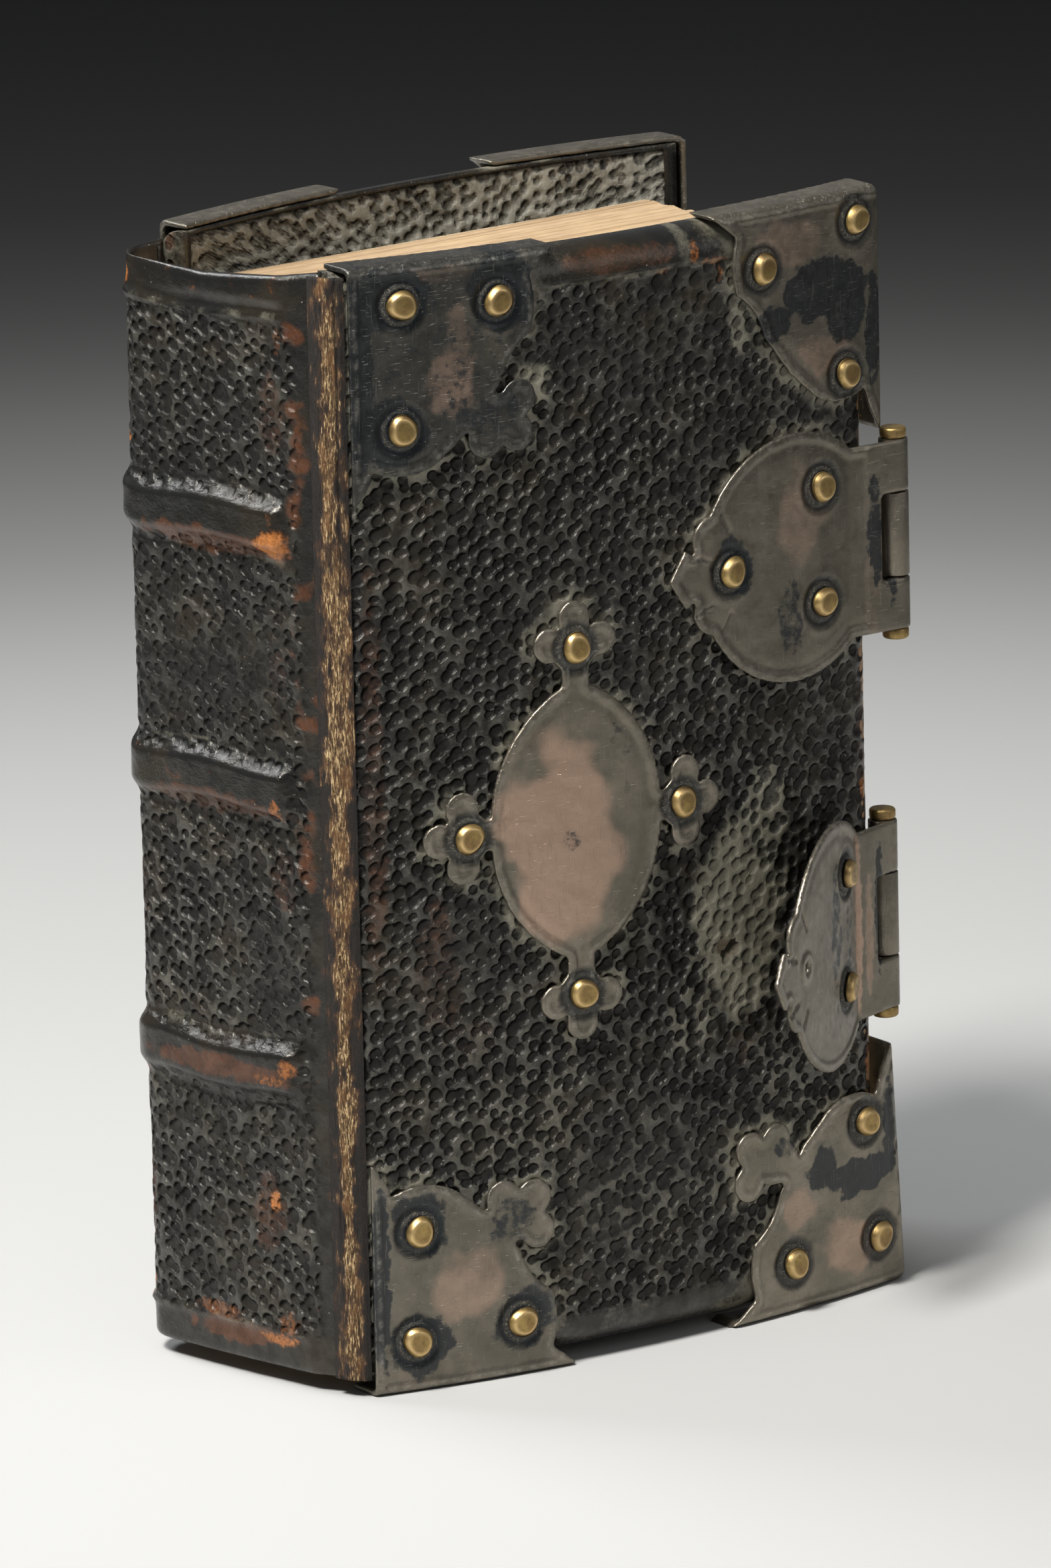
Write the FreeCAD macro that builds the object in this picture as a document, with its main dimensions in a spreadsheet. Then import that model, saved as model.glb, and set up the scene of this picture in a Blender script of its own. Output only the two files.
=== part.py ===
import FreeCAD, Part
import math
import os
import re

from FreeCAD import Placement, Rotation, Vector

# A small leather-bound prayer-book size volume with tarnished metal corners, centre plates and two clasps.
# X runs from the spine to the fore-edge, Y from the front cover to the rear cover, Z from tail to head.
# The book stands on the metal corners at its tail. Its covers turn at the spine, its clasps at the fore-edge.

SIZES = {
    # Whole book
    "thickness": 31.85,
    "splay": 3.4,
    # Covers: a bowed wooden board in leather
    "board_width": 61.4,
    "board_length": 108.0,
    "board_lift": 1.3,
    "cover_thickness": 3.6,
    "leather_thickness": 0.5,
    "bow_depth": 3.72,
    "bow_shift": 0.9,
    "edge_round": 3.0,
    "core_round": 2.1,
    "turn_in": 9.0,
    "paper_thickness": 0.3,
    "paste_gap": 0.03,
    # Text block: the squares are how far the boards stand past it
    "fore_square": 4.4,
    "head_square": 4.5,
    "tail_square": 3.0,
    "text_side_gap": 4.6,
    # Spine
    "spine_leather": 0.9,
    "spine_head_gap": 1.3,
    "spine_tail_gap": 0.3,
    "joint_depth": 1.0,
    "joint_inset": 2.4,
    "shoulder_depth": 3.1,
    "shoulder_inset": 5.8,
    "spine_front_depth": 5.3,
    "spine_rear_depth": 7.0,
    "rear_shoulder_back": 0.7,
    "rear_corner_back": 1.0,
    "rear_corner_inset": 2.6,
    "band_height": 6.0,
    "band_rise": 1.0,
    "cord_height": 3.6,
    "band_from_tail": 31.3,
    "band_from_head": 25.2,
    "band_middle_shift": 1.05,
    "headband_width": 1.8,
    "headband_height": 1.4,
    # Metal mounts: room is what lies between the boards' edges and the outside of the metal
    "metal_thickness": 0.6,
    "fore_room": 1.2,
    "head_room": 0.7,
    "mount_inset": 0.6,
    "bend_round": 1.0,
    "corner_reach": 20.0,
    "corner_flare": 1.6,
    "trefoil_shift": 2.0,
    # Rivets
    "rivet_radius": 1.5,
    "rivet_top": 1.1,
    "rivet_height": 0.9,
    "shank_radius": 0.6,
    "shank_bite": 1.8,
    # Centre plates
    "plate_middle_x": 23.3,
    "plate_drop": 1.2,
    "plate_half_width": 9.4,
    "plate_half_height": 13.8,
    "flower_reach": 17.0,
    "flower_side_reach": 12.0,
    "lobe_radius": 2.6,
    "petal_radius": 1.8,
    "petal_reach": 3.0,
    "centre_flower_scale": 0.95,
    "clasp_flower_scale": 1.35,
    # Clasps
    "clasp_gap_head": 2.5,
    "clasp_gap_tail": 4.9,
    "clasp_disc_radius": 12.2,
    "clasp_disc_inset": 7.4,
    "clasp_bend_inset": 5.0,
    "clasp_flower_inset": 15.7,
    "clasp_flange_height": 18.8,
    "clasp_rivet_inset": 3.8,
    "clasp_rivet_above": 6.4,
    "clasp_rivet_below": 5.0,
    "barrel_radius": 1.45,
    "barrel_upper_out": 1.4,
    "barrel_upper_y": 0.3,
    "barrel_lower_out": 0.6,
    "barrel_lower_y": 1.9,
    "pin_radius": 0.7,
    "pin_head_radius": 1.3,
    "pin_head_height": 1.1,
    "pin_clearance": 0.06,
    "knuckle_height": 8.2,
    "knuckle_gap": 0.15,
    "knuckle_notch": 2.4,
    "lift_angle": 28.0,
    "lift_gap": 0.3,
    "lifted_shank": 1.4,
    # Clasp arms and catches
    "arm_thickness": 0.8,
    "arm_width": 7.4,
    "arm_offset": 0.2,
    "arm_rest_angle": 12.0,
    "catch_depth": 2.0,
    "catch_half_height": 5.0,
    "catch_disc_inset": 8.6,
    "catch_rivet_across": 1.6,
    "catch_rivet_up": 2.4,
    "peg_radius": 1.0,
    "peg_length": 2.9,
    "peg_clearance": 0.5,
}

# Sizes that follow from those above
SIZES["stand_height"] = SIZES["board_lift"] + SIZES["board_length"] + SIZES["head_room"]
SIZES["mount_width"] = SIZES["board_width"] + SIZES["fore_room"]
SIZES["bow_middle"] = SIZES["board_width"] / 2 + SIZES["bow_shift"]
SIZES["bow_radius"] = (SIZES["bow_middle"] ** 2 / SIZES["bow_depth"] + SIZES["bow_depth"]) / 2
SIZES["text_width"] = SIZES["board_width"] - SIZES["fore_square"]
SIZES["text_lift"] = SIZES["board_lift"] + SIZES["tail_square"]
SIZES["text_length"] = SIZES["board_length"] - SIZES["tail_square"] - SIZES["head_square"]
SIZES["spine_lift"] = SIZES["board_lift"] + SIZES["spine_tail_gap"]
SIZES["spine_length"] = SIZES["board_length"] - SIZES["spine_tail_gap"] - SIZES["spine_head_gap"]
SIZES["plate_middle_z"] = SIZES["stand_height"] / 2 - SIZES["plate_drop"]
CLASP_SPACE = SIZES["corner_reach"] + SIZES["clasp_disc_radius"]
SIZES["clasp_upper"] = SIZES["stand_height"] - CLASP_SPACE - SIZES["clasp_gap_head"]
SIZES["clasp_lower"] = CLASP_SPACE + SIZES["clasp_gap_tail"]
SIZES["clasp_bend_x"] = SIZES["mount_width"] - SIZES["clasp_bend_inset"]
SIZES["clasp_disc_x"] = SIZES["clasp_bend_x"] - SIZES["clasp_disc_inset"]
SIZES["clasp_flower_x"] = SIZES["clasp_bend_x"] - SIZES["clasp_flower_inset"]
SIZES["catch_disc_x"] = SIZES["mount_width"] - SIZES["catch_disc_inset"]
SIZES["barrel_upper_x"] = SIZES["mount_width"] + SIZES["barrel_upper_out"]
SIZES["barrel_lower_x"] = SIZES["mount_width"] + SIZES["barrel_lower_out"]

# Middle of the whole outline, measured on the finished pieces at the end
SIZES["centre_x"] = 0.0
SIZES["centre_y"] = 0.0

# Shares that give the ornament and the spine their shapes
NECK_HALF = 0.6
NECK_LENGTH = 1.8
PETAL_TIP = 1.42
PETAL_CORNER = 0.62
PETAL_CORNER_HALF = 1.21
PLATE_BULGE_ACROSS = 0.75
PLATE_BULGE_UP = 0.62
RIVET_RIM = 0.35
KNEE_SHARE = 1.3
SPINE_MIDDLE = 0.49
SPINE_HIGH = 0.79
SPINE_REAR_SHOULDER = 0.875
BAND_STEPS = ((1.0, 0.5), (0.72, 1.0))
CORD_LEATHER = 0.35
TREFOIL_SPOT = 0.785
TREFOIL_EYE = 0.11
TREFOIL_LEAF = 0.09
TREFOIL_REACH = 0.13
TREFOIL_ANGLES = (-35, 45, 125)
PETAL_ANGLES = (-80, 0, 80)
POINTED_PETAL_ANGLES = (-58, 0, 58)

FRONT = "front"
REAR = "rear"
SKY = Vector(0, 0, 1)
DEEP = 20.0
FAR = 200.0

doc = FreeCAD.newDocument("leather_book")
sheet = doc.addObject("Spreadsheet::Sheet", "Sizes")
for row, (alias, value) in enumerate(SIZES.items(), start=1):
    sheet.set(f"A{row}", alias)
    sheet.set(f"B{row}", str(value))
    sheet.setAlias(f"B{row}", alias)
doc.recompute()


def size(alias):
    """One driving dimension, read from the sheet."""
    return float(sheet.get(alias))


def cells(text):
    """The expression text with each size's name turned into its cell in the sheet."""
    return re.sub(r"[a-z_]+", lambda word: f"Sizes.{word[0]}" if word[0] in SIZES else word[0], text)


def bind(item, **expressions):
    """Binds properties of an item to expressions on the sheet; x, y and z place it."""
    for name, text in expressions.items():
        path = f"Placement.Base.{name}" if name in "xyz" else name
        item.setExpression(path, cells(text))
    return item


def primitive(kind, name, **expressions):
    return bind(doc.addObject(kind, name), **expressions)


def boolean(kind, name, base, tool):
    item = doc.addObject(kind, name)
    item.Base = base
    item.Tool = tool
    return item


def fuse(name, shapes):
    item = doc.addObject("Part::MultiFuse", name)
    item.Shapes = shapes
    return item


def feature(name, shape):
    item = doc.addObject("Part::Feature", name)
    item.Shape = shape
    return item


def vertical(side, depth, width="0"):
    """Expression for the low Y side of something that begins at a depth under the outer face."""
    if side == FRONT:
        return depth
    return f"thickness - ({depth}) - ({width})"


# Bowed slabs: the shape of boards, leather and paper, cut from a ring about a vertical axis

def bowed_slab(name, side, outer, inner, x_low, x_high, z_low, z_high):
    """A slab between two radii of the bow, bounded by its lengths along X and Z."""
    tall = f"({z_high}) - ({z_low})"
    centre = vertical(side, "bow_radius - bow_depth")
    discs = []
    for part, radius in (("outer", outer), ("inner", inner)):
        disc = primitive("Part::Cylinder", f"{name}_{part}", Radius=radius, Height=tall,
                         x="bow_middle", y=centre, z=z_low)
        disc.Angle = 360
        discs.append(disc)
    ring = boolean("Part::Cut", f"{name}_ring", *discs)
    block = primitive("Part::Box", f"{name}_block", Length=f"({x_high}) - ({x_low})", Width=f"{DEEP}",
                      Height=tall, x=x_low, y=vertical(side, f"0 - {DEEP / 2}", f"{DEEP}"), z=z_low)
    return boolean("Part::Common", f"{name}_slab", ring, block)


def outer_edges(shape, side, inner_depth):
    """Numbers of a slab's outer edges along head, tail and fore-edge."""
    box = shape.BoundBox
    chosen = []
    for number, edge in enumerate(shape.Edges, start=1):
        middle = edge.valueAt((edge.FirstParameter + edge.LastParameter) / 2)
        depth = middle.y if side == FRONT else size("thickness") - middle.y
        level = abs(edge.BoundBox.ZMin - edge.BoundBox.ZMax) < 1e-3
        along_head_or_tail = level and edge.Length > (box.XMax - box.XMin) / 2
        along_fore = not level and abs(middle.x - box.XMax) < 1e-3
        if (along_head_or_tail or along_fore) and depth < inner_depth(middle.x):
            chosen.append(number)
    return chosen


def middle_depth(x):
    """Depth of the middle of the cover's thickness at x."""
    radius = size("bow_radius") - size("metal_thickness") - size("cover_thickness") / 2
    across = x - size("bow_middle")
    return size("bow_radius") - size("bow_depth") - math.sqrt(radius ** 2 - across ** 2)


def rounded(name, slab, side, alias):
    """The slab with its outer edges rounded."""
    doc.recompute()
    item = doc.addObject("Part::Fillet", name)
    item.Base = slab
    radius = size(alias)
    item.Edges = [(number, radius, radius) for number in outer_edges(slab.Shape, side, middle_depth)]
    return item


# Outlines in the plane of a cover, as prisms that cut the mounts from the bowed sheet

def disc(x, z, radius):
    return Part.Face(Part.Wire(Part.makeCircle(radius, Vector(x, 0, z), Vector(0, 1, 0))))


def polygon(points):
    corners = [Vector(x, 0, z) for x, z in points]
    return Part.Face(Part.makePolygon(corners + corners[:1]))


def prism(faces):
    """The union of the faces, drawn through the whole depth of a cover."""
    solids = []
    for face in faces:
        moved = face.translated(Vector(0, -DEEP / 2, 0))
        solids.append(moved.extrude(Vector(0, DEEP, 0)))
    whole = solids[0]
    if len(solids) > 1:
        whole = whole.multiFuse(solids[1:]).removeSplitter()
    return whole


def ring(outer, inner):
    """A ring about the bow's axis, taller than the book."""
    base = Vector(size("bow_middle"), size("bow_radius") - size("bow_depth"), -FAR / 2)
    return Part.makeCylinder(outer, 2 * FAR, base, SKY).cut(Part.makeCylinder(inner, 2 * FAR, base, SKY))


def metal_sheet():
    """The bowed sheet that plates lie in, on the leather."""
    return ring(size("bow_radius"), size("bow_radius") - size("metal_thickness"))


def corner_shell(flare):
    """Bent sheet for all four corners: a face on the leather, turned over head, tail and fore-edge."""
    metal = size("metal_thickness")
    top = size("stand_height")
    wide = size("mount_width")
    knee = size("corner_reach") * KNEE_SHARE
    outline = [(-DEEP, 0), (wide + flare, 0), (wide, knee), (wide, top), (-DEEP, top)]
    hollow = [(-DEEP, metal), (wide + flare - metal, metal), (wide - metal, knee),
              (wide - metal, top - metal), (-DEEP, top - metal)]
    inner_radius = size("bow_radius") - metal - size("cover_thickness")
    outer = ring(size("bow_radius"), inner_radius).common(prism([polygon(outline)]))
    bends = []
    for edge in outer.Edges:
        middle = edge.valueAt((edge.FirstParameter + edge.LastParameter) / 2)
        on_face = middle.y < middle_depth(middle.x)
        if on_face and middle.x > -DEEP + 1 and edge.Length > 1:
            bends.append(edge)
    outer = outer.makeFillet(size("bend_round"), bends)
    inside = ring(size("bow_radius") - metal, inner_radius - DEEP).common(prism([polygon(hollow)]))
    return outer.cut(inside)


def flower(x, z, heading, scale, pointed=False):
    """Faces of a lobe about a rivet, with petals round its outer side."""
    lobe_radius = size("lobe_radius") * scale
    petal_radius = size("petal_radius") * scale
    petal_reach = size("petal_reach") * scale
    inward = Vector(-math.cos(math.radians(heading)), 0, -math.sin(math.radians(heading)))
    aside = Vector(-inward.z, 0, inward.x) * lobe_radius * NECK_HALF
    root = Vector(x, 0, z) + inward * lobe_radius * NECK_LENGTH
    neck = [Vector(x, 0, z) + aside, root + aside, root - aside, Vector(x, 0, z) - aside]
    faces = [disc(x, z, lobe_radius), polygon([(p.x, p.z) for p in neck])]
    for turn in POINTED_PETAL_ANGLES if pointed else PETAL_ANGLES:
        angle = math.radians(heading + turn)
        along = Vector(math.cos(angle), 0, math.sin(angle))
        across = Vector(-along.z, 0, along.x)
        spot = Vector(x, 0, z) + along * petal_reach
        if pointed and turn == 0:
            tip = spot + along * petal_radius * PETAL_TIP
            corner = spot + along * petal_radius * PETAL_CORNER
            half = across * petal_radius * PETAL_CORNER_HALF
            back = spot - along * petal_radius
            faces.append(polygon([(p.x, p.z) for p in (tip, corner + half, back, corner - half)]))
        else:
            faces.append(disc(spot.x, spot.z, petal_radius))
    return faces


# Mounts

def corner_faces(outer_start, trefoil_shift):
    """Outline of a corner, from the book's corner across and up, in shares of the corner's reach."""
    reach = size("corner_reach")

    def point(across, up):
        return Vector(across * reach, 0, up * reach)

    notch = point(0.96, 0.12)
    cusp_low = point(0.79, 0.63)
    cusp_high = point(0.63, 0.83)
    lobe_low = point(0.965, 0.40)
    lobe_high = point(0.47, 0.965)
    spur_root = point(0.125, 0.98)
    start = Vector(outer_start, 0, 0)
    top = Vector(outer_start, 0, 1.15 * reach)
    edges = [
        Part.LineSegment(start, point(1.11, 0)).toShape(),
        Part.LineSegment(point(1.11, 0), notch).toShape(),
        Part.Arc(notch, point(0.985, 0.26), lobe_low).toShape(),
        Part.Arc(lobe_low, point(0.86, 0.49), cusp_low).toShape(),
        Part.LineSegment(cusp_low, cusp_high).toShape(),
        Part.Arc(cusp_high, point(0.56, 0.89), lobe_high).toShape(),
        Part.Arc(lobe_high, point(0.30, 1.02), spur_root).toShape(),
        Part.Arc(spur_root, point(0.09, 1.08), top).toShape(),
        Part.LineSegment(top, start).toShape(),
    ]
    faces = [Part.Face(Part.Wire(edges))]
    if trefoil_shift is not None:
        middle = TREFOIL_SPOT * reach
        faces.append(disc(middle, middle, TREFOIL_EYE * reach))
        for angle in TREFOIL_ANGLES:
            heading = math.radians(angle)
            faces.append(disc(middle + trefoil_shift + TREFOIL_REACH * reach * math.cos(heading),
                              middle + TREFOIL_REACH * reach * math.sin(heading), TREFOIL_LEAF * reach))
        if trefoil_shift:
            faces.append(disc(middle + trefoil_shift / 2, middle, TREFOIL_EYE * reach))
    return faces


def mirrored(shape, x_plane=None, y_plane=None, z_plane=None):
    """The shape mirrored in each plane that is given."""
    for place, normal in ((x_plane, Vector(1, 0, 0)), (y_plane, Vector(0, 1, 0)), (z_plane, SKY)):
        if place is not None:
            shape = shape.mirror(normal * place, normal)
    return shape


def surface(x, lift=0.0):
    """Point at height zero on the mounts' outer face at x, with the outward direction there."""
    radius = size("bow_radius")
    middle = Vector(size("bow_middle"), radius - size("bow_depth"), 0)
    across = (x - middle.x) / radius
    outward = Vector(across, -math.sqrt(1 - across ** 2), 0)
    return middle + outward * (radius + lift), outward


def rivet(x, z, shank_extra=0.0):
    """A flat-topped bevelled head and its shank into the board, as one solid, and the shank alone."""
    foot, outward = surface(x)
    foot.z = z
    radius = size("rivet_radius")
    rim = size("rivet_height") * RIVET_RIM
    sunk = size("metal_thickness") + size("leather_thickness") + size("shank_bite") + shank_extra
    head = Part.makeCylinder(radius, rim, foot, outward)
    head = head.fuse(Part.makeCone(radius, size("rivet_top"), size("rivet_height") - rim,
                                   foot + outward * rim, outward))
    shank = Part.makeCylinder(size("shank_radius"), sunk, foot - outward * sunk, outward)
    return head.fuse(shank).removeSplitter(), shank


def rivets(places, shank_extra=0.0):
    """All the rivets at the places and their shanks."""
    made = [rivet(x, z, shank_extra) for x, z in places]
    return [solid for solid, _ in made], [shank for _, shank in made]


def centre_plate():
    """Pointed oval with a flower at each end."""
    x = size("plate_middle_x")
    z = size("plate_middle_z")
    half = size("plate_half_width")
    tall = size("plate_half_height")
    left = Vector(x - half, 0, z)
    right = Vector(x + half, 0, z)
    low = Vector(x, 0, z - tall)
    high = Vector(x, 0, z + tall)
    bulge = Vector(half * PLATE_BULGE_ACROSS, 0, tall * PLATE_BULGE_UP)
    slope = Vector(half * PLATE_BULGE_ACROSS, 0, -tall * PLATE_BULGE_UP)
    middle = Vector(x, 0, z)
    edges = [
        Part.Arc(left, middle - slope, high).toShape(),
        Part.Arc(high, middle + bulge, right).toShape(),
        Part.Arc(right, middle + slope, low).toShape(),
        Part.Arc(low, middle - bulge, left).toShape(),
    ]
    faces = [Part.Face(Part.Wire(edges))]
    for place, heading in zip(centre_rivets(), (90, 270, 180, 0)):
        faces += flower(*place, heading, size("centre_flower_scale"))
    return metal_sheet().common(prism(faces))


def centre_rivets():
    """Rivets at the head, tail, spine and fore-edge ends of a centre plate."""
    x = size("plate_middle_x")
    z = size("plate_middle_z")
    reach = size("flower_reach")
    aside = size("flower_side_reach")
    return [(x, z + reach), (x, z - reach), (x - aside, z), (x + aside, z)]


def cut_all(shape, tools):
    return shape.cut(tools) if tools else shape


def clasp_plate(level, barrel_x, barrel_y, face, raised=0.0):
    """Hinge plate: its face on the leather, an edge bent towards the barrel, and two outer knuckles."""
    metal = size("metal_thickness")
    half = size("clasp_flange_height") / 2
    bend = size("clasp_bend_x")
    radius = size("barrel_radius")
    start, _ = surface(bend)
    start.y -= raised
    lip = [Vector(start.x, start.y, 0), Vector(barrel_x, barrel_y - radius, 0),
           Vector(barrel_x, barrel_y - radius + metal, 0), Vector(start.x, start.y + metal, 0)]
    flange = Part.Face(Part.makePolygon(lip + lip[:1])).extrude(SKY * (2 * half))
    flange.translate(Vector(0, 0, level - half))
    barrel = Part.makeCylinder(radius, 2 * half, Vector(barrel_x, barrel_y, level - half))
    whole = face.fuse([flange, barrel])
    gap = size("knuckle_height") + 2 * size("knuckle_gap")
    notch_x = barrel_x - size("knuckle_notch")
    notch = Part.makeBox(DEEP, DEEP, gap, Vector(notch_x, barrel_y - DEEP / 2, level - gap / 2))
    bore = Part.makeCylinder(size("pin_radius"), 4 * half, Vector(barrel_x, barrel_y, level - 2 * half))
    return whole.cut([notch, bore]).removeSplitter()


def clasp_face(level):
    """The flat part of a hinge plate: a disc cut off at the bend, with a flower on its inner side."""
    bend = size("clasp_bend_x")
    faces = [disc(size("clasp_disc_x"), level, size("clasp_disc_radius"))]
    faces += flower(size("clasp_flower_x"), level, 180, size("clasp_flower_scale"), pointed=True)
    flat = metal_sheet().common(prism(faces))
    beyond = Part.makeBox(FAR, FAR, FAR, Vector(bend, -FAR / 2, level - FAR / 2))
    return flat.cut(beyond)


def clasp_places(level):
    """Rivets of a hinge plate: two by the bend and one in the flower."""
    near = size("clasp_bend_x") - size("clasp_rivet_inset")
    return [(near, level + size("clasp_rivet_above")), (near, level - size("clasp_rivet_below")),
            (size("clasp_flower_x"), level)]


def lifted(shape):
    """The shape turned up about the hinge plate's bend, and moved a little off the leather."""
    start, _ = surface(size("clasp_bend_x"))
    turned = shape.copy()
    turned.rotate(start, SKY, size("lift_angle"))
    turned.translate(Vector(0, -size("lift_gap"), 0))
    return turned


def bend_filler(level):
    """A round rod of sheet thickness that closes the outside of the sharper bend."""
    metal = size("metal_thickness")
    half = size("clasp_flange_height") / 2
    start, _ = surface(size("clasp_bend_x"), size("lift_gap") - metal / 2)
    return Part.makeCylinder(metal / 2, 2 * half, Vector(start.x, start.y, level - half))


def catch_plate(level):
    """Catch on the rear cover's fore-edge with a peg for the clasp arm."""
    half = size("catch_half_height")
    start = size("catch_disc_x")
    block = polygon([(start, level - half), (start + DEEP, level - half), (start + DEEP, level + half),
                     (start, level + half)])
    plate = corner_shell(0.0).common(prism([block, disc(start, level, half)]))
    wide = size("mount_width")
    foot = Vector(wide - size("metal_thickness") / 2, size("catch_depth"), level)
    peg = Part.makeCylinder(size("peg_radius"), size("peg_length"), foot, Vector(1, 0, 0))
    return plate.fuse(peg).removeSplitter()


def catch_places(level):
    across = size("catch_disc_x") + size("catch_rivet_across")
    return [(across, level + size("catch_rivet_up")), (across, level - size("catch_rivet_up"))]


# Spine and text block outlines, seen from above

def spine_points(inset, rise=0.0):
    """Back of the spine from the front joint to the rear one, moved inwards by an inset or out by a rise."""
    deep = size("thickness")
    move = inset - rise
    joint_x = inset * 0.65 - size("joint_depth")
    joint_y = size("joint_inset") + inset * 2.45
    back = size("spine_rear_depth")
    turn_x = move * 0.6 - size("shoulder_depth") - size("rear_corner_back")
    turn_y = deep - size("rear_corner_inset") - inset * 1.1 + rise * 0.2
    return {
        "front_end": Vector(joint_x, joint_y, 0),
        "front_shoulder": Vector(move - size("shoulder_depth"),
                                 size("shoulder_inset") + inset * 0.55 - rise * 0.3, 0),
        "middle": Vector(move - size("spine_front_depth"), deep * SPINE_MIDDLE, 0),
        "rear_high": Vector(move - back, deep * SPINE_HIGH, 0),
        "rear_shoulder": Vector(size("rear_shoulder_back") - back + move * 0.8,
                                deep * SPINE_REAR_SHOULDER - inset * 0.4, 0),
        "rear_corner": Vector(turn_x, turn_y, 0),
        "rear_end": Vector(joint_x, deep - joint_y, 0),
    }


def spine_edges(points):
    """The curve through the spine's points."""
    return [
        Part.LineSegment(points["front_end"], points["front_shoulder"]).toShape(),
        Part.Arc(points["front_shoulder"], points["middle"], points["rear_high"]).toShape(),
        Part.Arc(points["rear_high"], points["rear_shoulder"], points["rear_corner"]).toShape(),
        Part.LineSegment(points["rear_corner"], points["rear_end"]).toShape(),
    ]


def text_face():
    """The text block from above: a slight wedge with the rounded back."""
    points = spine_points(size("spine_leather"))
    wide = size("text_width")
    front = size("text_side_gap")
    rear = size("thickness") - front + wide * math.tan(math.radians(size("splay")))
    corners = [points["rear_end"], Vector(wide, rear, 0), Vector(wide, front, 0), points["front_end"]]
    edges = spine_edges(points)
    for begin, end in zip(corners, corners[1:]):
        edges.append(Part.LineSegment(begin, end).toShape())
    return Part.Face(Part.Wire(edges))


def back_face(rise):
    """Area under the outer face of the spine, closed by a straight line inside the text block."""
    points = spine_points(0.0, rise)
    inner = spine_points(size("spine_leather"))
    edges = spine_edges(points)
    corners = [points["rear_end"], inner["rear_end"], inner["front_end"], points["front_end"]]
    for begin, end in zip(corners, corners[1:]):
        edges.append(Part.LineSegment(begin, end).toShape())
    return Part.Face(Part.Wire(edges))


def slab(face, low, tall):
    return face.translated(Vector(0, 0, low)).extrude(SKY * tall)


def band_window(level, tall, short=0.0):
    """The stretch of spine that a raised band crosses, between the shoulders, shortened at both ends."""
    front = size("shoulder_inset") + short
    rear = spine_points(size("spine_leather"))["rear_end"].y - short
    return Part.makeBox(FAR, rear - front, tall, Vector(-FAR / 2, front, level - tall / 2))


def sewing_cord(level):
    """A cord across the back of the text block, under a raised band."""
    tall = size("cord_height")
    rise = size("band_rise") - size("spine_leather") * CORD_LEATHER
    ridge = slab(back_face(rise), level - tall / 2, tall)
    return ridge.common(band_window(level, tall, size("spine_leather"))).cut(text_solid)


def spine_leather(cords):
    """Leather over the back, standing above the text block at the head, with a raised band over each cord."""
    low = size("spine_lift")
    whole = slab(back_face(0.0), low, size("spine_length"))
    bands = []
    for level in band_levels:
        for share, rise in BAND_STEPS:
            tall = size("band_height") * share
            ridge = slab(back_face(size("band_rise") * rise), level - tall / 2, tall)
            bands.append(ridge.common(band_window(level, tall)))
    whole = whole.fuse(bands)
    inner = slab(text_face(), -FAR, 3 * FAR)
    return whole.cut(inner).cut(cords).removeSplitter()


def headband(low):
    """A roll of thread along the back edge of the text block."""
    strip = text_face().cut(text_face().translated(Vector(size("headband_width"), 0, 0)))
    roll = strip.translated(Vector(0, 0, low)).extrude(SKY * size("headband_height"))
    window = band_window(low + size("headband_height") / 2, size("headband_height"))
    return roll.common(window)


# Build: root pieces

text_solid = slab(text_face(), size("text_lift"), size("text_length"))
lowest_band = size("band_from_tail")
highest_band = size("stand_height") - size("band_from_head")
band_levels = [lowest_band, (lowest_band + highest_band) / 2 + size("band_middle_shift"), highest_band]
nodes = []


def node(name, item, body):
    """Names a finished piece and keeps it with the body that it moves with."""
    item.Label = name
    nodes.append((item, body))
    return item


node("text_block", feature("text_block_solid", text_solid), "block")
cord_shapes = []
for word, level in zip(("lower", "middle", "upper"), band_levels):
    cord = sewing_cord(level)
    cord_shapes.append(cord)
    node(f"sewing_cord_{word}", feature(f"cord_{word}", cord), "block")
node("spine_leather", feature("spine_cover", spine_leather(cord_shapes)), "block")
head_level = size("text_lift") + size("text_length")
node("headband_head", feature("roll_head", headband(head_level)), "block")
node("headband_tail", feature("roll_tail", headband(size("text_lift") - size("headband_height"))), "block")

# Build: covers

OUTER = "bow_radius - metal_thickness"
INNER = "bow_radius - metal_thickness - cover_thickness"
TOP = "board_lift + board_length"

corner_names = ("tail_spine", "tail_fore", "head_spine", "head_fore")
corner_rivets = {
    "tail_spine": [(4.7, 5.1), (15.8, 5.4), (5.2, 15.9)],
    "head_spine": [(5.7, 3.9), (15.7, 4.6), (5.5, 15.9)],
    "head_fore": [(3.5, 3.0), (16.0, 5.8), (5.1, 17.8)],
    "tail_fore": [(2.4, 5.3), (14.2, 5.1), (4.1, 17.3)],
}


def corner_places(name):
    """Rivets of a corner, whose places are measured from that corner of the mounts."""
    wide = size("mount_width")
    tall = size("stand_height")
    places = []
    for across, up in corner_rivets[name]:
        places.append((wide - across if name.endswith("fore") else across,
                       tall - up if name.startswith("head") else up))
    return places


def corner(name, flare, trefoil_shift):
    """One corner mount in its place on the front cover."""
    at_spine = name.endswith("spine")
    start = size("mount_inset") if at_spine else -DEEP
    outline = prism(corner_faces(start, trefoil_shift))
    outline = mirrored(outline, x_plane=None if at_spine else size("mount_width") / 2,
                       z_plane=size("stand_height") / 2 if name.startswith("head") else None)
    return corner_shell(flare).common(outline)


def place_side(shape, side):
    """The shape as it is on the front cover, or mirrored for the rear cover."""
    if side == FRONT:
        return shape
    return mirrored(shape, y_plane=size("thickness") / 2)


def fixed(side, name, shapes, shanks):
    """A mount and its rivets as two nodes of a cover."""
    plate = place_side(cut_all(shapes, shanks), side)
    return node(name, feature(f"{name}_metal", plate), side)


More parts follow.
